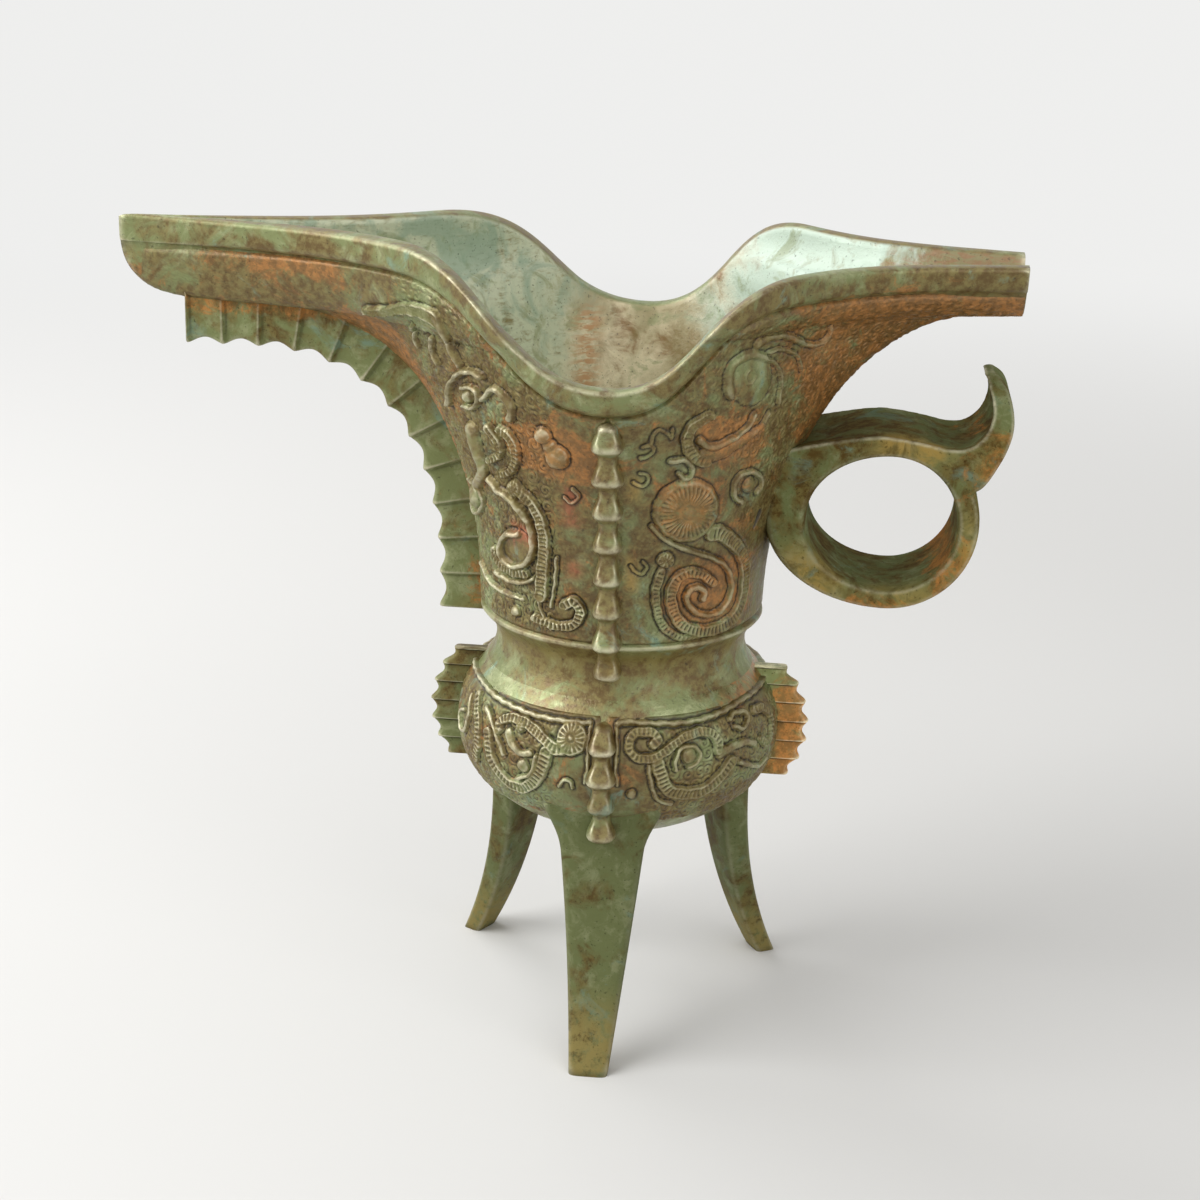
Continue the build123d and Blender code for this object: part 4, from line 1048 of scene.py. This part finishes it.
bellyTailRelief = [
    ("plain", 1.0, 1.0, 0.8, [2.6, 62.5, 3.8, 63.0, 9.1, 62.7, 14.4, 62.4, 17.8, 62.4, 21.9, 62.6, 26.7, 63.0,
        31.4, 63.4, 44.0, 63.6]),
    ("band", 1.5, 1.7, 1.15, [9.0, 59.4, 10.0, 60.3, 8.8, 61.3, 6.3, 61.4, 4.9, 60.3, 4.9, 58.5, 6.4, 57.3,
        8.5, 57.2, 10.7, 58.0, 13.0, 59.3, 15.4, 60.3, 18.2, 60.6, 20.5, 60.0, 21.8, 58.3, 21.5, 57.0]),
    ("band", 2.4, 2.2, 1.05, [9.8, 56.2, 10.6, 53.6, 11.9, 51.2, 14.7, 50.2, 17.9, 49.9, 20.4, 50.8,
        22.7, 52.5, 24.6, 54.3]),
    ("boss", 1.5, 0, 0.8, [15.6, 57.0]),
    ("plain", 0.9, 0.8, 1.1, [13.0, 54.9, 13.0, 56.6, 14.1, 58.4, 16.1, 58.6, 17.6, 57.4, 17.0, 55.7,
        15.4, 55.1]),
    ("plain", 2.0, 1.2, 0.8, [22.1, 56.3, 25.5, 56.9, 28.7, 56.7, 31.0, 55.8]),
    ("boss", 0.9, 0, 0.7, [5.4, 50.5]),
    ("plain", 0.8, 0.8, 0.6, [8.2, 55.9, 8.8, 52.7, 10.2, 49.2, 13.0, 48.0]),
    ("plain", 1.0, 0.9, 0.9, [25.6, 61.4, 27.2, 62.0, 29.6, 61.6, 30.3, 60.3, 28.3, 59.2, 26.2, 60.0]),
    ("band", 1.6, 1.4, 0.9, [33.0, 61.0, 36.0, 60.6, 38.4, 58.6, 38.0, 55.6, 35.4, 54.4, 33.4, 56.0]),
    ("plain", 1.0, 0.8, 0.8, [27.0, 53.4, 30.0, 52.0, 33.0, 50.8, 36.4, 51.2]),
    ("plain", 0.7, 0.7, 0.5, [2.4, 62.3, 2.6, 58.7, 2.4, 55.2, 2.9, 52.3])]


def makeBellyPanel(strokes, side, seed):
    panel = bellyPanel
    turn = np.linspace(0, math.pi / 2, panel["columns"])[None, :]
    z = np.linspace(panel["low"], panel["high"], panel["rows"])[:, None]
    radius = bellyRadius(z)
    base = np.stack([side * radius * np.sin(turn), -radius * np.cos(turn), z + 0 * turn], -1)
    s, z = belly["radius"] * turn + 0 * z, z + 0 * turn
    high, trench = strokeHeights(s, z, strokes)
    field = smooth01((62.3 - z) / 1.2) * smooth01((s - 6) / 6)
    fine = threadCurls(s, z, panel["curl"], panel["thread"], seed) * panel["threadHigh"] * field
    return closedPanel(base, high, trench, fine, edgeFade(z.shape, panel["edgeRows"]), reliefForm["sink"])


addMirrored("bellyScrollFrontSpout", "bellyScrollRearSpout", makeBellyPanel(bellySpoutRelief, -1, 31),
            ["belly_scroll_front_spout", "belly_scroll_rear_spout"])
addMirrored("bellyScrollFrontTail", "bellyScrollRearTail", makeBellyPanel(bellyTailRelief, 1, 41),
            ["belly_scroll_front_tail", "belly_scroll_rear_tail"])
print("belly relief made")

# floor, light and camera
stage = dict(floorSize=40.0, floorColour=(0.68, 0.677, 0.668), floorRough=0.8, farColour=(0.86, 0.86, 0.85),
             nearRound=0.22, farRound=0.8, worldColour=(1.0, 0.99, 0.96), worldStrength=0.48)
lamps = [dict(name="keyLamp", place=(-0.72, -0.28, 0.62), aim=(0, 0, 0.08), size=0.7, power=8.0),
         dict(name="backLamp", place=(-0.60, 0.50, 0.70), aim=(0, 0, 0.10), size=0.7, power=4.0),
         dict(name="fillLamp", place=(0.55, -0.65, 0.45), aim=(0, 0, 0.08), size=0.9, power=2.8)]
photoView = dict(focal=2300.0, frame=1200.0, distance=399.7, height=212.5, across=-4.0, pitch=18.82, yaw=5.76,
                 roll=1.57, sensor=36.0, nearest=0.01)


# rays that see the surroundings, straight, mirrored or through glass
def seenRays(tree):
    path = addNode(tree, "LightPath").outputs
    return larger(larger(path["Is Camera Ray"], path["Is Glossy Ray"]), path["Is Transmission Ray"])


def mixShaders(tree, share, first, second, output):
    both = addNode(tree, "MixShader", {0: share, 1: first.outputs[0], 2: second.outputs[0]})
    feed(tree.nodes[output], {"Surface": both.outputs[0]})


def makeFloor():
    bm = bmesh.new()
    bmesh.ops.create_grid(bm, x_segments=8, y_segments=8, size=stage["floorSize"] / 2)
    mesh = bpy.data.meshes.new("floor")
    bm.to_mesh(mesh)
    bm.free()
    floor = bpy.data.objects.new("floor", mesh)
    bpy.context.scene.collection.objects.link(floor)
    material = bpy.data.materials.new("paleFloor")
    material.use_nodes = True
    tree = material.node_tree
    shader = tree.nodes["Principled BSDF"]
    feed(shader, {"Base Color": (*stage["floorColour"], 1), "Roughness": stage["floorRough"]})
    # far from the object the camera sees an even pale ground
    coords = addNode(tree, "TexCoord").outputs["Object"]
    far = addNode(tree, "VectorMath", {0: coords}, operation="LENGTH").outputs["Value"]
    away = times(rangeOf(far, stage["nearRound"], stage["farRound"]), seenRays(tree))
    glow = addNode(tree, "Emission", {"Color": (*stage["farColour"], 1)})
    mixShaders(tree, away, shader, glow, "Material Output")
    mesh.materials.append(material)


def makeLight():
    world = bpy.data.worlds.new("studio")
    bpy.context.scene.world = world
    world.use_nodes = True
    tree = world.node_tree
    sky = tree.nodes["Background"]
    feed(sky, {"Color": (*stage["worldColour"], 1), "Strength": stage["worldStrength"]})
    seen = addNode(tree, "Background", {"Color": (*stage["farColour"], 1)})
    mixShaders(tree, seenRays(tree), sky, seen, "World Output")
    for lamp in lamps:
        data = bpy.data.lights.new(lamp["name"], "AREA")
        data.size = lamp["size"]
        data.energy = lamp["power"]
        made = bpy.data.objects.new(lamp["name"], data)
        made.location = lamp["place"]
        way = Vector(lamp["aim"]) - Vector(lamp["place"])
        made.rotation_euler = way.to_track_quat("-Z", "Y").to_euler()
        bpy.context.scene.collection.objects.link(made)


def makeCamera():
    pitch, yaw, roll = [math.radians(photoView[key]) for key in ("pitch", "yaw", "roll")]
    turned = Matrix.Rotation(yaw, 3, "Z")
    ahead = turned @ Vector((0, math.cos(pitch), -math.sin(pitch)))
    level = turned @ Vector((1, 0, 0))
    upright = turned @ Vector((0, math.sin(pitch), math.cos(pitch)))
    right = level * math.cos(roll) + upright * math.sin(roll)
    up = upright * math.cos(roll) - level * math.sin(roll)
    spot = turned @ Vector((photoView["across"], -photoView["distance"], photoView["height"])) * mm
    data = bpy.data.cameras.new("photoCamera")
    data.sensor_width = photoView["sensor"]
    data.lens = photoView["sensor"] * photoView["focal"] / photoView["frame"]
    data.clip_start = photoView["nearest"]
    camera = bpy.data.objects.new("photoCamera", data)
    facing = Matrix((right, up, -ahead)).transposed().to_4x4()
    camera.matrix_world = Matrix.Translation(spot) @ facing
    bpy.context.scene.collection.objects.link(camera)
    bpy.context.scene.camera = camera


makeFloor()
makeLight()
makeCamera()
bpy.context.scene.view_settings.view_transform = "Standard"
print("stage made")
